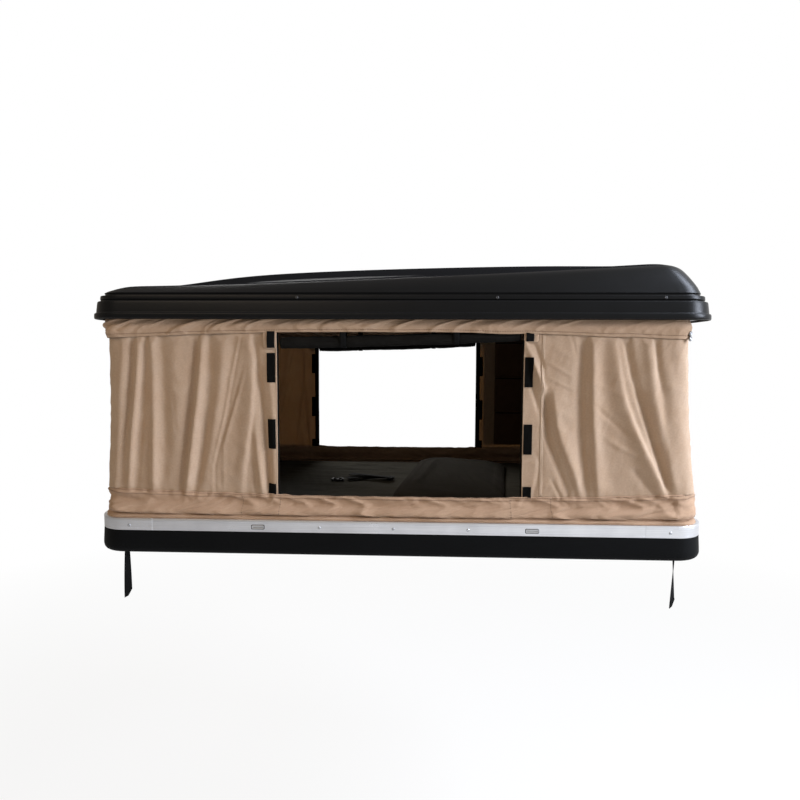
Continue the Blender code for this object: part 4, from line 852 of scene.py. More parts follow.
def relief(along, rise, folds, seed, hem):
    """The folds, swells between them, small wrinkles, and puckers at the sill's seam. It is held flat
    under the upper band, so that no fold comes through it."""
    foot = 0.45 + 0.55 * np.clip(rise / 0.035, 0, 1)
    swell = 0.0020 * noise(along, rise, 0.085, 0.30, seed)
    wrinkle = 0.0010 * noise(along + 0.25 * rise, rise, 0.024, 0.13, seed + 1)
    fine = 0.00055 * noise(along - 0.4 * rise, rise, 0.009, 0.035, seed + 2)
    crumple = creases(0.0022, 0.35, along - 0.9 * rise, rise + 0.5 * along, 0.075, 0.052, seed + 4)
    pucker = 0.0012 * noise(along, rise, 0.008, 0.05, seed + 3) * np.exp(-rise / 0.016)
    out = (folds_at(along, rise, folds) + swell + wrinkle + crumple) * foot + fine + pucker
    most = np.interp(rise - hem, (-0.06, -0.014, 0.0, 0.03), (0.020, 0.0050, 0.0010, 0.0))
    return np.clip(out, -1.1 * most, most)


# %% The two sheets
WALLS, FEET = {}, []


def wall_sheet(end, door_near, door_far, top, folds, seed):
    """Rows of the plan from the sill to the top, moved out along the normals by the relief. On the
    far wall the valleys are levelled softly, because the pocket panel lies against its inner face."""
    rows = []
    length = sheet_plan(0.0, door_near, door_far, top)[2][-1]
    everywhere = folds + END_FOLDS + mirrored(folds, length)
    for share in np.linspace(0, 1, ROWS):
        points, normals, along = sheet_plan(share, door_near, door_far, top)
        low = sill(points[:, 0]) + FOOT_GAP
        rise = (WALL_TOP - low) * share
        out = relief(along * length / along[-1], rise, everywhere, seed, header(points[:, 0]) - low)
        out = np.where(points[:, 1] > 0.55, 0.0014 * np.logaddexp(out / 0.0014, -0.9), out)
        if share == 0:
            FEET.append((points * (end, 1), out))
        rows.append(at_height((points + normals * out[:, None]) * (end, 1), low + rise))
    WALLS[end] = np.array(rows)
    return WALLS[end] if end > 0 else WALLS[end][:, ::-1]


for label, end, door_near, door_far, top, folds in (
    ("low", -1, -NEAR_DOOR[0], -FAR_DOOR[0], END_LOW, LOW_FOLDS),
    ("tall", 1, NEAR_DOOR[1], FAR_DOOR[1], END_TALL, TALL_FOLDS),
):
    grid = wall_sheet(end, door_near, door_far, top, folds, 40 if end > 0 else 20)
    sheet = thicken(grid_piece(f"wall_canvas_{label}", grid, canvas), CANVAS)
    side = "left" if end < 0 else "right"
    near, far, across = f"canvas_near_{side}", f"canvas_far_{side}", f"canvas_end_{label}"
    settle(sheet, "base", near, near, far, across)
    length = float(lengths(grid[0])[-1])
    flatten(sheet, BAND_SEAT, 0.03)

# %% [markdown]
# ## Points on a wall
#
# The strips, hems and patches lie on the folds of the wall. So they need the wall's own surface:
# the grid is read back by interpolation at any x and height.


# %% Interpolated wall
def on_wall(x, z, side, lift):
    """Points at x and z on the near (-1) or far (+1) wall, moved outwards by lift: two linear steps
    between the sheet's nearest columns and rows."""
    x, z = np.broadcast_arrays(np.asarray(x, float), np.asarray(z, float))
    grid = WALLS[-1 if x.mean() < 0 else 1]
    half = grid[:, :STRAIGHT] if side < 0 else grid[:, -STRAIGHT:][:, ::-1]
    columns_x = half[0, :, 0]
    order = np.argsort(columns_x)
    column = np.interp(x, columns_x[order], order.astype(float))
    low = sill(x) + FOOT_GAP
    row = np.clip((z - low) / (WALL_TOP - low), 0, 1) * (ROWS - 1)
    i, j = np.minimum(row.astype(int), ROWS - 2), np.minimum(column.astype(int), STRAIGHT - 2)
    fi, fj = row - i, column - j
    y = half[..., 1]
    first, second = (y[i, k] * (1 - fi) + y[i + 1, k] * fi for k in (j, j + 1))
    return np.stack([x, first * (1 - fj) + second * fj + side * lift, z], -1)


def wall_patch(name, x_range, z_range, side, lift, thickness, material, steps=(8, 24), facing=None):
    """A rectangle of the wall's surface, lifted off it and given its thickness."""
    x, z = np.meshgrid(np.linspace(*x_range, steps[0]), np.linspace(*z_range, steps[1]))
    grid = on_wall(x, z, side, lift)
    return thicken(grid_piece(name, facing_out(grid, facing or side), material), thickness)


def folds_down(piece, body, slot):
    """Trim rides on the base or on the lid and gets its own copy of its mesh."""
    return flatten(settle(piece, body, slot), *((BAND_SEAT, 0.03) if body == "base" else (FRAME_FOOT, 0.05)))


print("near wall at x = 0.5, z = 0.5: y =", round(float(on_wall([0.5], [0.5], -1, 0.0)[0, 1]), 3))

# %% [markdown]
# ### Stitches
#
# A seam is seen by its stitches and by the shadow of the line that they draw into the cloth. They could
# be a dashed texture, but then the mesh alone would show none. So each is a small prism with
# six sides in section, 5 mm long at 8 mm steps: the real 3 mm would be less than a pixel.


# %% Rows of stitches
STITCH_STEP, STITCH_SIZE = 0.008, (0.0050, 0.0012, 0.0008)


def stitches(name, path, outward, material, body, slot, pitch=STITCH_STEP, size=STITCH_SIZE):
    """Copies of one little prism at equal steps along a path, turned to run with it and to face outwards."""
    path = np.asarray(path, float)
    outward = np.broadcast_to(outward, path.shape)
    along = lengths(path)
    spots = np.arange(pitch / 2, along[-1], pitch)

    def read(values, where):
        """The rows of values at lengths along the path."""
        return np.stack([np.interp(where, along, column) for column in values.T], 1)

    place, out = read(path, spots), read(outward, spots)
    ahead = read(path, spots + 0.002) - place
    ahead /= np.maximum(np.linalg.norm(ahead, axis=1, keepdims=True), 1e-9)
    side = np.cross(out, ahead)
    turn = full_turn(6)
    shape = []
    for end, fat in ((-0.5, 0.35), (-0.32, 1.0), (0.32, 1.0), (0.5, 0.35)):
        shape += [(end * size[0], fat * size[1] * math.cos(t), fat * size[2] * math.sin(t)) for t in turn]
    shape = np.array(shape)
    points = (place[:, None] + shape[None, :, :1] * ahead[:, None] + shape[None, :, 1:2] * side[:, None]
              + shape[None, :, 2:] * out[:, None])
    faces = [[r * 6 + k, r * 6 + (k + 1) % 6, (r + 1) * 6 + (k + 1) % 6, (r + 1) * 6 + k]
             for r in range(3) for k in range(6)]
    ends = [list(range(5, -1, -1)), list(range(18, 24))]
    everything = [[v + 24 * n for v in face] for n in range(len(spots)) for face in faces + ends]
    mesh = bpy.data.meshes.new(name)
    mesh.from_pydata(points.reshape(-1, 3).tolist(), [], everything)
    mesh.materials.append(material)
    mesh.uv_layers.new(name="UVMap")
    return folds_down(put(name, mesh), body, slot)


print("stitches a metre:", round(1 / STITCH_STEP))

# %% [markdown]
# ## Fittings of the doorways
#
# Black hook-and-loop strips, which a closed flap probably presses onto, stand on both edges of each
# doorway. A cotton binding and a hem, where the cloth is turned over, run up those edges.

# %% Strips, hems and binding
STRIPS = ((0.574, 0.671), (0.353, 0.452), (0.198, 0.235))
RIGHT_LOWER, STRIP_WIDTH, STRIP_THICK = 0.011, 0.027, 0.0016
FACING_OVER, FACING_WIDTH, FACING_DEPTH, FACING_THICK = 0.002, 0.015, -0.0046, 0.0012
DOORS = ((-1, "near", NEAR_DOOR), (1, "far", FAR_DOOR))

for side, label, door in DOORS:
    for edge_label, edge, away in (("left", door[0], -1), ("right", door[1], 1)):
        slot, tag = f"canvas_{label}_{edge_label}", f"{label}_{edge_label}"
        inner = edge + away * (0.0045 if away < 0 else 0.003)
        across = sorted((inner, inner + away * STRIP_WIDTH))
        facing, lift = (side, 0.0027) if side < 0 else (-side, -0.0024)
        for number, strip in enumerate(STRIPS):
            drop = RIGHT_LOWER if away > 0 and number < 2 else 0.0
            up = [BASE_Z + height - drop for height in strip]
            patch = wall_patch(f"hook_strip_{tag}_{number}", across, up, side, lift, STRIP_THICK, hook_tape,
                               (16, 40), facing)
            folds_down(patch, "base", slot)
        span = float(sill(edge)) + 0.002, WALL_TOP - 0.004
        for part, x, depth, radius, material, sides in (
            ("hem", edge + away * 0.0012, 0.0, 0.0021, canvas, 10),
            ("binding", edge - away * 0.0022, -0.0045, 0.0036, piping, 8),
        ):
            line = on_wall(np.full(60, x), np.linspace(*span, 60), side, depth)
            folds_down(tube(f"door_{part}_{tag}", line, radius, material, sides), "base", slot)
        across = sorted((edge - away * FACING_OVER, edge + away * FACING_WIDTH))
        inside = wall_patch(f"door_facing_{tag}", across, span, side, FACING_DEPTH, FACING_THICK, piping,
                            (5, 60), -side)
        folds_down(inside, "base", slot)

# %% Seam up the right wall
seam_z = np.linspace(float(sill(0.476)) + 0.006, 0.768, 70)
for side, label, x in ((-1, "near", 0.476), (1, "far", 0.418)):
    slot = f"canvas_{label}_right"
    ends = (seam_z[0], seam_z[-1])
    flat = wall_patch(f"wall_seam_{label}", (x - 0.005, x + 0.005), ends, side, 0.0012, 0.0007, canvas,
                      (5, 70))
    folds_down(flat, "base", slot)
    line = on_wall(np.full(70, x - 0.003), seam_z, side, 0.0018)
    stitches(f"wall_stitches_{label}", line, (0.0, side, 0.0), canvas, "base", slot)

# %% [markdown]
# ## The lower and upper bands
#
# The lower band is sewn to the walls' foot, bulges out below the seam, draws in and tucks into the
# aluminium. The upper band hangs from the lid's frame. Both are rings: a curve up the cloth, carried
# round the plan. The upper one was pulled sideways when the lid rose, so its wrinkles run aslant.


# %% Lower band
SKIRT_HEIGHT, SKIRT_INSET, SKIRT_CORNER = 0.077, 0.016, 0.075
DEEPEST_CREASE = -0.0035


def foot_relief(points):
    """How far the wall's foot stands out at the nearest place, or nothing across a doorway, and the
    share to which the band laps over the foot, which also ends at the doorway."""
    feet, outs = (np.concatenate(parts) for parts in zip(*FEET))
    apart = np.linalg.norm(points[:, None] - feet[None], axis=2)
    away = apart.min(1)
    lap = 1 - np.clip(np.maximum(away - 0.03, 0) / 0.02, 0, 1)
    return outs[apart.argmin(1)] * np.clip((0.05 - away) / 0.02, 0, 1), lap


def canvas_skirt():
    """(inset blend, share of height) points up the cloth, rounded, at every station of the plan. The
    outward swell is slanted creases, the fold half way down, and the walls' folds near the seam."""
    rise_curve = cut_corners(np.array([
        (0.0, -0.22), (0.0, -0.10), (0.10, 0.02), (0.10, 0.07), (0.62, 0.12), (0.62, 0.15), (0.14, 0.20),
        (0.16, 0.30), (0.42, 0.42), (0.95, 0.60), (0.99, 0.80), (0.86, 0.93), (0.80, 1.0), (0.88, 1.05),
    ]), 2)
    along_x, along_y = stations(290), stations(165)
    rows = []
    for blend, share in rise_curve:
        inset_x, inset_y = SKIRT_INSET + 0.007 * blend, SKIRT_INSET + 0.019 * blend
        points, normals = plan(HALF_LENGTH - inset_x, HALF_WIDTH - inset_y, SKIRT_CORNER, along_x, along_y, 12)
        around = lengths(points)
        height = sill(points[:, 0]) - BAND_TOP
        stands_out, lap = foot_relief(points)
        rise = height * np.where(share > 1, 1 + (share - 1) * lap, share)
        fade = np.clip(share / 0.25, 0, 1) * np.clip((1.03 - share) / 0.12, 0, 1)
        slanted = creases(0.0125, 0.42, around + 2.4 * rise, rise, 0.092, 0.055, 7)
        slanted += creases(0.0062, 0.42, around - 1.7 * rise, rise, 0.043, 0.036, 8)
        slanted += 0.0016 * noise(around + 0.8 * rise, rise, 0.013, 0.016, 16)
        crease = 0.0022 * noise(around, rise, 0.30, 1.0, 9) * np.sin(np.pi * np.clip(share / 0.5, 0, 1))
        pucker = 0.0013 * noise(around, rise, 0.0075, 0.05, 10)
        pucker = pucker * np.exp(-np.abs(1 - share) * SKIRT_HEIGHT / 0.010)
        seam = stands_out * np.exp(-np.maximum(0.98 - share, 0) * SKIRT_HEIGHT / 0.009)
        wave = 0.0011 * noise(around, 0.0, 0.021, 1.0, 15) * np.clip((share - 0.7) / 0.3, 0, 1)
        out = np.maximum((slanted + crease) * fade, DEEPEST_CREASE) + pucker + seam
        rows.append(at_height(points + normals * out[:, None], BAND_TOP + rise + wave))
    rows = np.array(rows)
    piece = thicken(lofted("lower_band_canvas", rows, shaded_foot_canvas, ()), CANVAS)
    settle(piece, "base", "canvas_skirt", "canvas_skirt")
    flatten(piece, BAND_SEAT, 0.08)
    return rows, normals, rise_curve


skirt_rows, skirt_normals, skirt_curve = canvas_skirt()


# %% Seams of the lower band
def skirt_seam(name, drop, lift=0.0012):
    """A row of stitches round the band, a given way below its upper edge."""
    row = int(np.abs(skirt_curve[:, 1] - (1.05 - drop / SKIRT_HEIGHT)).argmin())
    out = at_height(joined(skirt_normals), 0.0)
    stitches(name, joined(skirt_rows[row]) + lift * out, out, seam_shade_thread, "base", "canvas_skirt")


skirt_seam("skirt_stitches_upper", 0.004)
skirt_seam("skirt_stitches_lower", 0.012)
shown = (skirt_curve[:, 1] > 0.05) & (skirt_curve[:, 1] < 0.99)
for side, label in SIDES:
    for number, x in enumerate((-0.515, -0.390, 0.380, 0.510)):
        nearest = np.abs(skirt_rows[0][:, 0] - x) + 9 * (skirt_rows[0][:, 1] * side < 0.5)
        line = skirt_rows[shown][:, int(nearest.argmin())] + np.array((0.0022, side * 0.0012, 0))
        stitches(f"skirt_patch_stitches_{label}_{number}", line, (0.0, side, 0.0), piping, "base",
                 "canvas_skirt", 0.0085, (0.0046, 0.0008, 0.0006))


# %% Upper band
VALANCE_TOP = 0.8160
VALANCE_LEFT, VALANCE_RIGHT, VALANCE_Y, VALANCE_CORNER = 0.9762, 0.9522, 0.5731, 0.0572
HEM_ROW = 8


def canvas_valance():
    """From the hem up: the header line, a turned hem 7 to 11 mm high, a belly, and the frame above."""
    shares = np.concatenate([np.linspace(1.0, 0.84, 9), np.linspace(0.82, 0.0, 28)])
    along_x, along_y = stations(360), stations(190)
    half_x, shift = (VALANCE_LEFT + VALANCE_RIGHT) / 2, (VALANCE_RIGHT - VALANCE_LEFT) / 2
    rows = []
    for share in shares:
        belly = 0.004 * math.sin(math.pi * share)
        points, normals = plan(half_x + belly, VALANCE_Y + belly, VALANCE_CORNER, along_x, along_y, 12)
        points = points + (shift, 0.0)
        around = lengths(points)
        drop = (VALANCE_TOP - header(points[:, 0])) * share
        calm = 0.55 + 0.45 * np.clip(-points[:, 0] / 0.5, -1, 1)
        fade = np.clip(share / 0.12, 0, 1) * (0.45 + 0.55 * np.clip((1.0 - share) / 0.3, 0, 1))
        fade = fade * (0.28 + 0.72 * calm)
        aslant = creases(0.0240, 0.40, around + 2.3 * drop, drop, 0.066, 0.12, 11)
        aslant += creases(0.0070, 0.40, around + 1.4 * drop, drop, 0.027, 0.05, 12)
        aslant += 0.0012 * noise(around + 0.5 * drop, drop, 0.011, 0.013, 17)
        pucker = 0.0009 * noise(around, drop, 0.008, 0.06, 13) * (0.4 + 0.6 * share)
        hem = 0.0010 * (share > 0.85)
        wave = 0.0024 * noise(around, 0.0, 0.11, 1.0, 14) * share
        out = 0.0015 * np.logaddexp((aslant * fade + pucker + hem) / 0.0015, -1.0)
        rows.append(at_height(points + normals * out[:, None], VALANCE_TOP - drop + wave))
    rows = np.array(rows)
    piece = thicken(lofted("upper_band_canvas", rows, lip_shaded_canvas, ()), CANVAS)
    settle(piece, "lid", "canvas_valance", "canvas_valance")
    flatten(piece, FRAME_FOOT, 0.05)
    out = at_height(joined(normals), 0.0)
    hem = joined(rows[HEM_ROW]) + 0.0013 * out
    stitches("upper_band_stitches", hem, out, seam_shade_thread, "lid", "canvas_valance")


canvas_valance()


# %% Loops over the roll's ends
def corner_loop(name, x, z_range, side, mirror):
    """A canvas tab with a rounded foot, lying on the wall, and a black strap that bows out in front of it."""
    width = np.linspace(-0.5, 0.5, 12)[None, :]
    share = np.linspace(0, 1, 16)[:, None]
    low, high = z_range
    foot = 0.006 * (np.abs(2 * width) ** 4) - 0.004
    tab_y = side * 0.5715 + side * 0.004 * np.sin(np.pi * share)
    bow_y = side * (0.5745 + 0.0055 * np.sin(np.pi * np.clip(share * 1.1, 0, 1)))
    tab_z = low + foot + (high - low - foot) * share
    for part, x_line, y_line, z_line, material, thickness in (
        ("tab", x - mirror * 0.004 + 0.046 * width, tab_y, tab_z, canvas, 0.0016),
        ("strap", x + 0.025 * width, bow_y, low + (high - low) * share, webbing, 0.0020),
    ):
        grid = np.stack([np.broadcast_to(line, (16, 12)) for line in (x_line, y_line, z_line)], -1)
        sheet = thicken(grid_piece(f"{name}_{part}", facing_out(grid, side), material), thickness)
        folds_down(sheet, "lid", "canvas_valance")


for side, label, door in DOORS:
    corner_loop(f"roll_loop_{label}_left", door[0] - 0.0165, (0.7180, 0.7720), side, 1)
    corner_loop(f"roll_loop_{label}_right", door[1] + 0.0165, (0.7420, 0.7730), side, -1)


# %% [markdown]
# ## The rolled door flaps
#
# Each flap is rolled up under the header and held by two straps. A roll of cloth isn't a smooth
# pipe: its free edge lies along it as a step, the straps draw it in, and its ends show the
# layers. The surface is a radius that depends on the length and the angle.


# %% Door rolls
ROLL_Y, ROLL_RADIUS, ROLL_HALF, TIE_X, TIE_RADIUS = 0.5507, 0.0202, 0.393, 0.185, 0.0193
TIE_TOP, TIE_STRAIGHT = 0.8145, 0.775


def roll_height(x):
    """Height of the roll's middle: it rises from the left to the right and sags a little between."""
    share = x / 0.81 + 0.5
    return BASE_Z + 0.704 + 0.027 * share - 0.003 * np.sin(np.pi * share)


def door_roll(name, side, centre_x, seed):
    """Radius = 20 mm, drawn in at the ties, with lengthwise wrinkles, a step where the flap's edge
    lies and gathers near the ends; the ends are closed by shrinking rings."""
    x = np.linspace(-ROLL_HALF, ROLL_HALF, 170)
    angle = full_turn(56)
    length, turn = np.meshgrid(x, angle, indexing="ij")
    tie = np.exp(-((np.abs(length) - TIE_X) / 0.012) ** 2)
    radius = ROLL_RADIUS * (1 - 0.17 * tie)
    radius = radius + 0.0017 * noise(length + 0.02 * turn, turn, 0.07, 0.55, seed) * (1 - tie)
    radius = radius - 0.0016 * np.abs(noise(length + 0.03 * turn, turn, 0.045, 0.30, seed + 1))
    radius = radius + 0.0006 * noise(length, turn, 0.012, 0.4, seed + 2)
    step = (turn - 1.2 * np.pi - 0.25 * np.sin(9 * length)) % (2 * np.pi)
    radius = radius - 0.0016 * step / (2 * np.pi)
    near_end = np.clip((np.abs(length) - 0.345) / 0.048, 0, 1)
    radius = radius * (1 - 0.10 * near_end) + 0.0011 * np.sin(2 * np.pi * length / 0.0075) * near_end
    rings = [(length, radius)]
    for shrink in (0.86, 0.70, 0.52, 0.34, 0.16):
        groove = 0.0016 * (1 if round(shrink * 50) % 2 else -1)
        rings.insert(0, (length[:1] - 0.001 + groove, radius[:1] * shrink))
        rings.append((length[-1:] + 0.001 - groove, radius[-1:] * shrink))
    length, radius = (np.concatenate(parts) for parts in zip(*rings))
    turn = np.tile(angle, (len(length), 1))
    y = side * (ROLL_Y + np.cos(turn) * radius * 0.98)
    z = roll_height(length) + np.sin(turn) * radius
    grid = facing_out(np.stack([length + centre_x, y, z], -1), -side)
    piece = lofted(name + "_cloth", grid, dark_door_roll_cloth)
    settle(piece, "lid", name, name)
    flatten(piece, FRAME_FOOT, 0.12)


def door_tie(name, side, x, centre_x):
    """A webbing strap from the frame down behind the roll, under it and up in front."""
    z = float(roll_height(x))
    angle = np.linspace(np.pi, 2 * np.pi, 15)
    under = np.stack([ROLL_Y + TIE_RADIUS * np.cos(angle), z + TIE_RADIUS * np.sin(angle)], 1)
    back, front = ROLL_Y - TIE_RADIUS, ROLL_Y + 0.0200
    down, up = [(back, TIE_TOP), (back, TIE_STRAIGHT)], [(front, TIE_STRAIGHT), (front, TIE_TOP)]
    path = smooth_path(np.vstack([down, under, up]), 44)
    across = x + centre_x + np.linspace(-0.010, 0.010, 5)
    grid = np.stack([np.broadcast_to(line, (44, 5)) for line in (across, side * path[:, :1], path[:, 1:])], -1)
    piece = thicken(grid_piece(name + "_webbing", facing_out(grid, side), webbing), WEBBING_THICK, 1.0)
    flatten(settle(piece, "lid", name, name), FRAME_FOOT, 0.12)


for name, side, centre in (("door_roll_near", -1, 0.010), ("door_roll_far", 1, -0.048)):
    door_roll(name, side, centre, 60 + side)
    for label, x in (("left", -TIE_X), ("right", TIE_X)):
        door_tie(f"{name}_tie_{label}", side, x, centre)

# %% [markdown]
# ## The pocket panel
#
# Inside, right of the far doorway, hangs a panel with three rows of pockets. Each row bellies
# out from its foot to its mouth, where a bound edge stands off the panel.


# %% Organiser
POCKETS_X, PANEL_X = 0.447, (0.392, 0.832)
PANEL_FOOT, PANEL_HEIGHT, POCKET_ROWS, POCKET_DEPTH = 0.215, 0.529, 3, 0.0115


def organiser():
    """Belly = sin of half the row's share, times a bulge across each of the two pockets; it closes
    fast above the mouth. Left of POCKETS_X the panel is plain canvas."""
    x, share = np.meshgrid(np.linspace(*PANEL_X, 90), np.linspace(0, 1, 150))
    z = BASE_Z + PANEL_FOOT + PANEL_HEIGHT * share
    row = np.clip(share * POCKET_ROWS, 0, POCKET_ROWS - 0.0001) % 1
    belly = np.where(row < 0.93, np.sin(np.pi / 2 * np.clip(row / 0.93, 0, 1)) ** 0.7, (1 - row) / 0.07)
    across = np.abs(np.sin(2 * np.pi * np.clip(x - POCKETS_X, 0, 1) / (PANEL_X[1] - POCKETS_X))) ** 0.45
    depth = POCKET_DEPTH * belly * across + 0.0006 * noise(x, z, 0.03, 0.05, 71)
    wall = wall_line(np.clip((z - sill(x)) / (WALL_TOP - sill(x)), 0, 1))
    grid = np.stack([x, wall - 0.0026 - depth, z], -1)
    piece = thicken(grid_piece("pocket_panel", grid, pocket_cloth), 0.0016)
    piece.data.materials.append(canvas)
    left = np.array([face.center.x < POCKETS_X for face in piece.data.polygons], dtype=np.int32)
    piece.data.polygons.foreach_set("material_index", left)
    settle(piece, "base", "organiser", "organiser")
    flatten(piece, BAND_SEAT, 0.05)
    for number in range(POCKET_ROWS):
        mouth = int(round((number + 0.92) / POCKET_ROWS * (len(grid) - 1)))
        line = grid[mouth][x[0] > POCKETS_X]
        edge = tube(f"pocket_binding_{number}", line + (0, -0.0022, 0), 0.0022, piping, 8)
        flatten(settle(edge, "base", "organiser"), BAND_SEAT, 0.05)


organiser()

# %% [markdown]
# ## The bed
#
# The mattress is a foam slab in a loose cover; on it lies a cover folded over itself, and a heap
# of spare webbing. Foam keeps its shape, so the slab is a rounded
# rectangle with a crowned top, and the loose cloth on it is noise that is drawn out lengthwise.


# %% Mattress
MATTRESS_HALF, MATTRESS_CORNER, TOP_SHARE = (0.8455, 0.520), 0.06, 0.98


def mattress():
    """Loops from the foot to the edge of the top, then scaled to the middle with the creases on them."""
    (half_x, half_y), thick = MATTRESS_HALF, MATTRESS_TOP - MATTRESS_Z
    along_x, along_y = stations(170), stations(110)
    profile = cut_corners(np.array([
        (0.060, 0.0), (0.018, 0.0), (0.004, 0.10), (0.0, 0.30), (0.0012, 0.5), (0.0, 0.70), (0.004, 0.86),
        (0.014, 0.955), (0.034, TOP_SHARE),
    ]), 1)
    loops = []
    for inset, share in profile:
        points, _ = plan(half_x - inset, half_y - inset, MATTRESS_CORNER, along_x, along_y, 8)
        loops.append(at_height(points, MATTRESS_Z + share * thick))
    rim = loops[-1]
    for scale in np.concatenate([np.linspace(0.985, 0.88, 10), np.linspace(0.86, 0.02, 50)]):
        points = rim[:, :2] * scale
        x, y = points.T
        loose = 1 + 1.8 * np.clip((y - 0.12) / 0.15, 0, 1) * np.clip((0.15 - x) / 0.15, 0, 1)
        rumple = creases(0.0030, 0.3, x, y + 0.10 * x, 0.17, 0.040, 81) * loose
        rumple = rumple + 0.0010 * noise(x, y, 0.05, 0.02, 82)
        crown = 0.02 * (1 - scale) ** 0.5 * thick
        height = MATTRESS_Z + TOP_SHARE * thick + crown + rumple * min(1, 8 * (1 - scale)) - 0.0004
        loops.append(at_height(points, height))
    loops = [at_height(rim[:, :2] * scale, MATTRESS_Z) for scale in (0.05, 0.4, 0.8)] + loops
    piece = lofted("mattress_cover", loops, bedding)
    settle(piece, "base", "mattress", "mattress")


mattress()


# %% Folded cover
COVER_PLACE, COVER_HALF, COVER_SKEW = np.array((0.228, 0.005)), (0.210, 0.430), 0.13
COVER_CORNER, COVER_RISE = 0.100, 0.050


def folded_cover():
    """Loops of a rounded rectangle that leans to the right as it goes back. Its height is raised at
    the left, where the cloth is folded over, and is less than half as much at the right."""
    points, _ = plan(*COVER_HALF, COVER_CORNER, stations(50), stations(100), 14)

    def place(spot):
        """A spot of the plan, skewed and moved to the cover's place."""
        return spot + spot[:, 1:] * (COVER_SKEW, 0.0) + COVER_PLACE

    def lean(spot):
        """Share of the full height: the cover is highest near its left side."""
        return 0.62 + 0.38 * np.cos(2.6 * np.clip(spot[:, 0] + 0.150 - 0.12 * spot[:, 1], -0.1, 0.4) / 0.420)

    def soft(spot):
        """Slanting rumples, broad and fine."""
        cross = spot[:, 0] + 0.35 * spot[:, 1]
        broad = 0.0040 * noise(cross, spot[:, 1], 0.055, 0.24, 91)
        return broad + 0.0016 * noise(cross, spot[:, 1], 0.018, 0.09, 92)

    def loop(spot, share, more=0.0):
        """One ring of the pile at a share of its height."""
        height = share * (COVER_RISE * lean(spot) + np.minimum(soft(spot), 0.002)) + more
        return at_height(place(spot), MATTRESS_TOP + 0.0004 + height)

    side = np.array([(0.10, 0.0), (0.6, 0.0), (0.90, 0.0), (0.965, 0.04), (0.985, 0.20), (0.965, 0.50),
                     (0.90, 0.78), (0.78, 0.93)])
    loops = [loop(points * scale, share) for scale, share in cut_corners(side, 2)]
    for scale in np.linspace(0.755, 0.02, 34):
        spot = points * scale
        fold = 0.010 * np.exp(-((spot[:, 0] + 0.125 - 0.06 * spot[:, 1]) / 0.022) ** 2)
        fold = fold * np.clip((0.755 - scale) / 0.2, 0, 1) - 0.002
        loops.append(loop(spot, 0.93 + 0.07 * (1 - (scale / 0.78) ** 2), fold))
    piece = lofted("folded_cover_cloth", loops, cover_cloth)
    settle(piece, "base", "folded_cover", "folded_cover")
    flatten(piece, MATTRESS_TOP, 0.8)


folded_cover()


# %% Spare webbing and buckle
PASSES, PASS_LENGTH, PASS_RISE, HEAP_X, HEAP_Y = 5, 0.19, 0.0034, -0.135, 0.030


def webbing_heap():
    """A ribbon laid back and forth in five passes; each pass climbs by nearly twice its thickness."""
    path = []
    for layer in range(PASSES):
        fan = math.radians(24 - 13 * layer)
        way = 1 if layer % 2 == 0 else -1
        for share in np.linspace(-0.5 * way, 0.5 * way, 5):
            reach = PASS_LENGTH * share
            climb = layer + 0.5 + way * share
            z = MATTRESS_TOP + 0.003 + PASS_RISE * climb
            path.append((HEAP_X + reach * math.cos(fan), HEAP_Y + reach * math.sin(fan), z))
    path = smooth_path(path, 200)
    across = np.array([0.287, 0.958, 0.0]) * np.linspace(-0.0125, 0.0125, 5)[:, None]
    grid = path[:, None] + across[None]
    piece = thicken(grid_piece("spare_webbing", grid, webbing), WEBBING_THICK)
    settle(piece, "base", "webbing_heap", "webbing_heap")


def buckle():
    """A ladder-lock: a rounded section carried round one loop, and a bar across it that leaves two windows."""
    low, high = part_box("webbing_buckle")
    middle = (low + high) / 2
    corner, bar_half = 0.007, 0.0045
    half = (high - low) / 2
    points, _ = plan(half.x - bar_half, half.y - bar_half, corner, stations(8), stations(6), 6)
    loop = at_height(points + (middle.x, middle.y), middle.z)
    angle = full_turn(12)[:, None, None]
    out = unit((loop - np.array(middle)) * (1, 1, 0))
    ring = loop[None] + 0.0042 * np.cos(angle) * out[None] + 0.0048 * np.sin(angle) * np.array((0, 0, 1.0))
    frame_ring = welded(lofted("buckle_frame", joined(ring), buckle_acetal, ()))
    settle(frame_ring, "base", "webbing_buckle", "webbing_buckle")
    bar = np.array([(middle.x, low.y + 0.004, middle.z), (middle.x, high.y - 0.004, middle.z)])
    settle(tube("buckle_bar", smooth_path(bar, 6), 0.0032, buckle_acetal), "base", "webbing_buckle")


webbing_heap()
buckle()

# %% [markdown]
# ## Boards inside
#
# The floor is a felt-covered panel and the roof is lined. Both are flat slabs with soft edges.


# %% Floor and roof liner
def slab(name, node, body, material, corner, edge):
    """A rounded rectangle whose edge is a quarter circle above and below, filling the node's box."""
    low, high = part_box(node)
    half = (high - low) / 2
    middle = (high + low) / 2
    along_x, along_y = stations(60), stations(36)
    turn = np.linspace(-np.pi / 2, np.pi / 2, 9)
    loops = []
    for angle in turn:
        inset = edge * (1 - np.cos(angle))
        points, _ = plan(half.x - inset, half.y - inset, corner, along_x, along_y, 8)
        z = middle.z + (half.z - edge) * np.sign(np.round(np.sin(angle), 6)) + edge * np.sin(angle)
        loops.append(at_height(points, z))
    inward = [(s, s, 1) for s in (0.1, 0.5, 0.9)]
    loops = [loops[0] * s for s in inward] + loops + [loops[-1] * s for s in inward[::-1]]
    piece = lofted(name, loops, material)
    return settle(sharpen(piece, 50), body, node, node)


slab("floor_board", "floor_panel", "base", carpet, 0.062, 0.004)
slab("lining_board", "roof_liner", "lid", lining, 0.075, 0.0028)

# %% [markdown]
# ## Small fittings
#
# Rivets and blank plates on the band, bolts in the lid's groove, studs at the right corners: each
# is turned or stamped, so each is a short profile spun about its own axis, or a thin rounded plate.


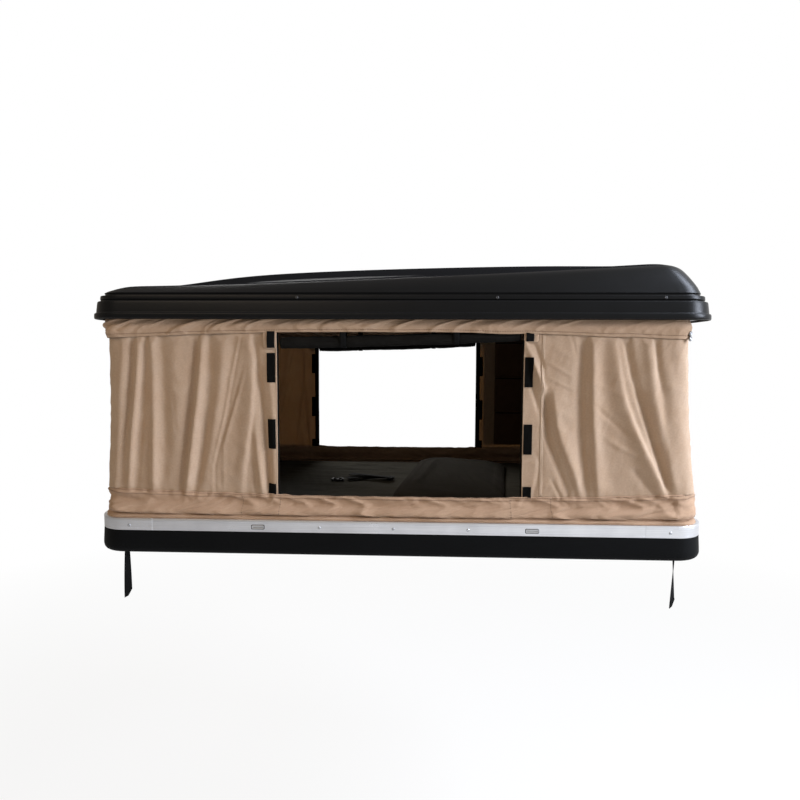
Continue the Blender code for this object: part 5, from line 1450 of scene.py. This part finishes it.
# %% Rivets, bolts and plates
def turned_head(name, centre, outward, profile, material, body, slot):
    """A (radius, height) profile spun about the outward axis at its place."""
    outward = unit(np.asarray(outward, float))
    first = unit(np.cross((0.0, 0.0, 1.0), outward))
    second = np.cross(outward, first)
    turn = full_turn(20)[None, :, None]
    ring = first * np.cos(turn) + second * np.sin(turn)
    radius, height = np.array(profile).T[:, :, None, None]
    grid = np.asarray(centre) + radius * ring + height * outward
    return settle(lofted(name, grid, material), body, slot)


def millimetres(*profile):
    """A (radius, height) profile given in millimetres."""
    return [(radius / 1000, height / 1000) for radius, height in profile]


RIVET = millimetres((3, -1), (4.8, -0.4), (4.8, 0.2), (4, 1.2), (2.6, 1.8), (1.4, 1.6), (1, 0.8))
BOLT = millimetres((3.6, -3), (6, -1), (6, 0.4), (5.2, 2), (3.6, 3), (2, 3.1), (1.3, 2))
BAND_FACE_X, BAND_FACE_Y, RIVET_Z = 1.012, 0.597, 0.1260
GROOVE_Y, GROOVE_Z = 0.5880, LIP_Z + 0.0690
for side, label in SIDES:
    for number, x in enumerate((-0.890, -0.251, -0.007, 0.238, 0.889)):
        turned_head(f"band_rivet_{label}_{number}", (x, side * BAND_FACE_Y, RIVET_Z), (0, side, 0), RIVET,
                    zinc, "base", "base_band")
for end, label in ENDS:
    for number, y in enumerate((-0.44, 0.0, 0.44)):
        turned_head(f"band_rivet_{label}_{number}", (end * BAND_FACE_X, y, RIVET_Z), (end, 0, 0), RIVET, zinc,
                    "base", "base_band")
for side, label in SIDES:
    for number, x in enumerate((-0.322, 0.323, 0.852)):
        turned_head(f"lid_bolt_{label}_{number}", (x, side * GROOVE_Y, GROOVE_Z), (0, side, 0.25), BOLT,
                    black_steel, "lid", "lid_shell")


def stamped_plate(name, x, half_x, half_z, rings, material):
    """(inset, outward) rings of a rounded plate that lies on the band, closed front and back."""
    loops = []
    for inset, out in rings:
        corner = max(0.0040 - inset, 0.0008)
        points, _ = plan(half_x - inset, half_z - inset, corner, stations(6), stations(2), 5)
        loops.append(at_height(points + (x, RIVET_Z), -BAND_FACE_Y - out)[:, [0, 2, 1]])
    piece = lofted(name, loops, material)
    return settle(sharpen(piece, 40), "base", "base_band")


GASKET = ((0.0, -0.0003), (0.0, 0.0006), (0.0008, 0.0009), (0.0030, 0.0009))
PLATE = ((0.0, 0.0004), (0.0, 0.0014), (0.0006, 0.0018), (0.0016, 0.0018), (0.0024, 0.0013), (0.0060, 0.0013))
for label, x in (("left", -0.455), ("right", 0.446)):
    stamped_plate(f"blank_plate_gasket_{label}", x, 0.0223, 0.0079, GASKET, seal_rubber)
    stamped_plate(f"blank_plate_{label}", x, 0.0205, 0.0062, PLATE, rail_aluminium)

STUD = millimetres((4, -4), (8, -3), (8.2, 0.5), (7.4, 2), (5.8, 2.6), (5, 1.8), (2, 1.8))
for side, label in SIDES:
    for height in (0.752, 0.768):
        stud = turned_head(f"corner_stud_{label}_{round(height * 1000)}", (0.9430, side * 0.5655, height),
                           (0.72, side * 0.69, 0), STUD, zinc, "lid", "canvas_valance")
        flatten(stud, FRAME_FOOT, 0.05)

# %% [markdown]
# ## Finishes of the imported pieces
#
# The scissors, struts, channels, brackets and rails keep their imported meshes. Only their finish
# changes, by the kind of metal that each one is.

# %% Finishes for the frame
FINISHES = (
    (black_steel, ("arm_", "base_bracket", "lid_bracket", "strut_bracket", "strut_cylinder")),
    (zinc, ("strut_rod", "strut_stud", "centre_pin")),
    (roller_nylon, ("base_roller", "lid_roller")),
    (cross_aluminium, ("base_channel", "lid_channel", "cross_member")),
    (rail_aluminium, ("lid_frame", "rail_")),
    (seal_rubber, ("lip_seal",)),
)
dressed = 0
for name, node in nodes.items():
    for material, starts in FINISHES:
        if name.startswith(starts):
            node.data.materials.clear()
            node.data.materials.append(material)
            dressed += 1
print("packed pieces with a new finish:", dressed)

# %% [markdown]
# ## The studio
#
# Three windows stand to the right, of which the high and the low one draw the highlights on the
# lid's corner; a warm weak one is in front at the left and one lies behind. The white background
# is a share of emission that only camera rays see, and it costs no light. Mirror rays see a room
# that gets darker towards the left, as the photographed lid does.

# %% Floor and world
FLOOR_Z, FLOOR_REACH = -1.5, 14.0
grid = np.array([[(x, y, FLOOR_Z) for x in (-FLOOR_REACH, FLOOR_REACH)] for y in (-FLOOR_REACH, FLOOR_REACH)])
floor_paint, tree, shader = new_finish("pale_painted_floor", 0.9)
shader.inputs["Base Color"].default_value = linear("#E9E9E8")
seen = add(tree, "LightPath").outputs
white = add(tree, "Emission", {"Color": (1.0, 1.0, 1.0, 1.0)})
place = add(tree, "TexCoord").outputs["Object"]
distance = add(tree, "VectorMath", {0: place, 1: (0.0, 0.0, FLOOR_Z)}, operation="DISTANCE").outputs["Value"]
far_off = combined(tree, "MULTIPLY", seen["Is Camera Ray"], ramp(tree, distance, (2.2, 5.5), (0.82, 1.0)))
to_right = add(tree, "SeparateXYZ", {"Vector": place}).outputs["X"]
brighter = ramp(tree, to_right, (-2.8, 2.6), (0.12, 1.0))
mirrored_floor = combined(tree, "MULTIPLY", seen["Is Glossy Ray"], brighter)
shown_white = combined(tree, "MAXIMUM", far_off, mirrored_floor)
blend = add(tree, "MixShader", {0: shown_white, 1: shader.outputs["BSDF"], 2: white.outputs["Emission"]})
tree.links.new(blend.outputs["Shader"], tree.nodes["Material Output"].inputs["Surface"])
grid_piece("studio_floor", grid, floor_paint)

world = bpy.data.worlds.new("pale_room")
bpy.context.scene.world = world
world.use_nodes = True
tree = world.node_tree
rays = add(tree, "LightPath").outputs
background_rays = combined(tree, "MAXIMUM", rays["Is Camera Ray"], rays["Is Transmission Ray"])
to_right = add(tree, "SeparateXYZ", {"Vector": add(tree, "TexCoord").outputs["Generated"]}).outputs["X"]
brighter = ramp(tree, to_right, (-0.2, 0.5), (0.12, 1.0))
mirrored_room = combined(tree, "MULTIPLY", rays["Is Glossy Ray"], brighter)
shown_white = combined(tree, "MAXIMUM", background_rays, mirrored_room)
drive(tree, tree.nodes["Background"], Color=mixed(tree, shown_white, linear("#FFF1E0"), (1.0, 1.0, 1.0, 1.0)),
      Strength=ramp(tree, shown_white, (0.0, 1.0), (0.24, 1.0)))

print("room:", floor_paint.name, "and", world.name)


# %% Lamps
def window(name, place, target, size, power, colour):
    """An area lamp at a place, turned to face the target."""
    data = bpy.data.lights.new(name, "AREA")
    data.shape, data.size, data.size_y, data.energy = "RECTANGLE", size[0], size[1], power
    data.color = linear(colour)[:3]
    lamp = put(name, data)
    lamp.location = place
    lamp.rotation_euler = (Vector(target) - Vector(place)).to_track_quat("-Z", "Y").to_euler()
    print(name, power, "W")


window("window_right", (6.4, -3.4, 2.4), (0.1, -0.5, 0.5), (2.0, 2.0), 390, "#E6EEFF")
window("window_low", (4.3, -1.6, 1.4), (0.6, -0.5, 0.6), (0.9, 0.9), 64, "#E6EEFF")
window("window_front", (-1.9, -4.0, 3.3), (0.0, 0.0, 0.5), (2.4, 1.6), 52, "#FFE9CF")
window("window_side", (3.3, -0.9, 3.2), (0.9, -0.4, 0.8), (1.4, 1.8), 190, "#E2ECFF")
window("window_back", (-1.2, 3.6, 2.8), (0, 0, 0.5), (2.6, 1.6), 110, "#FFFFFF")
bpy.context.scene.view_settings.view_transform = "Standard"
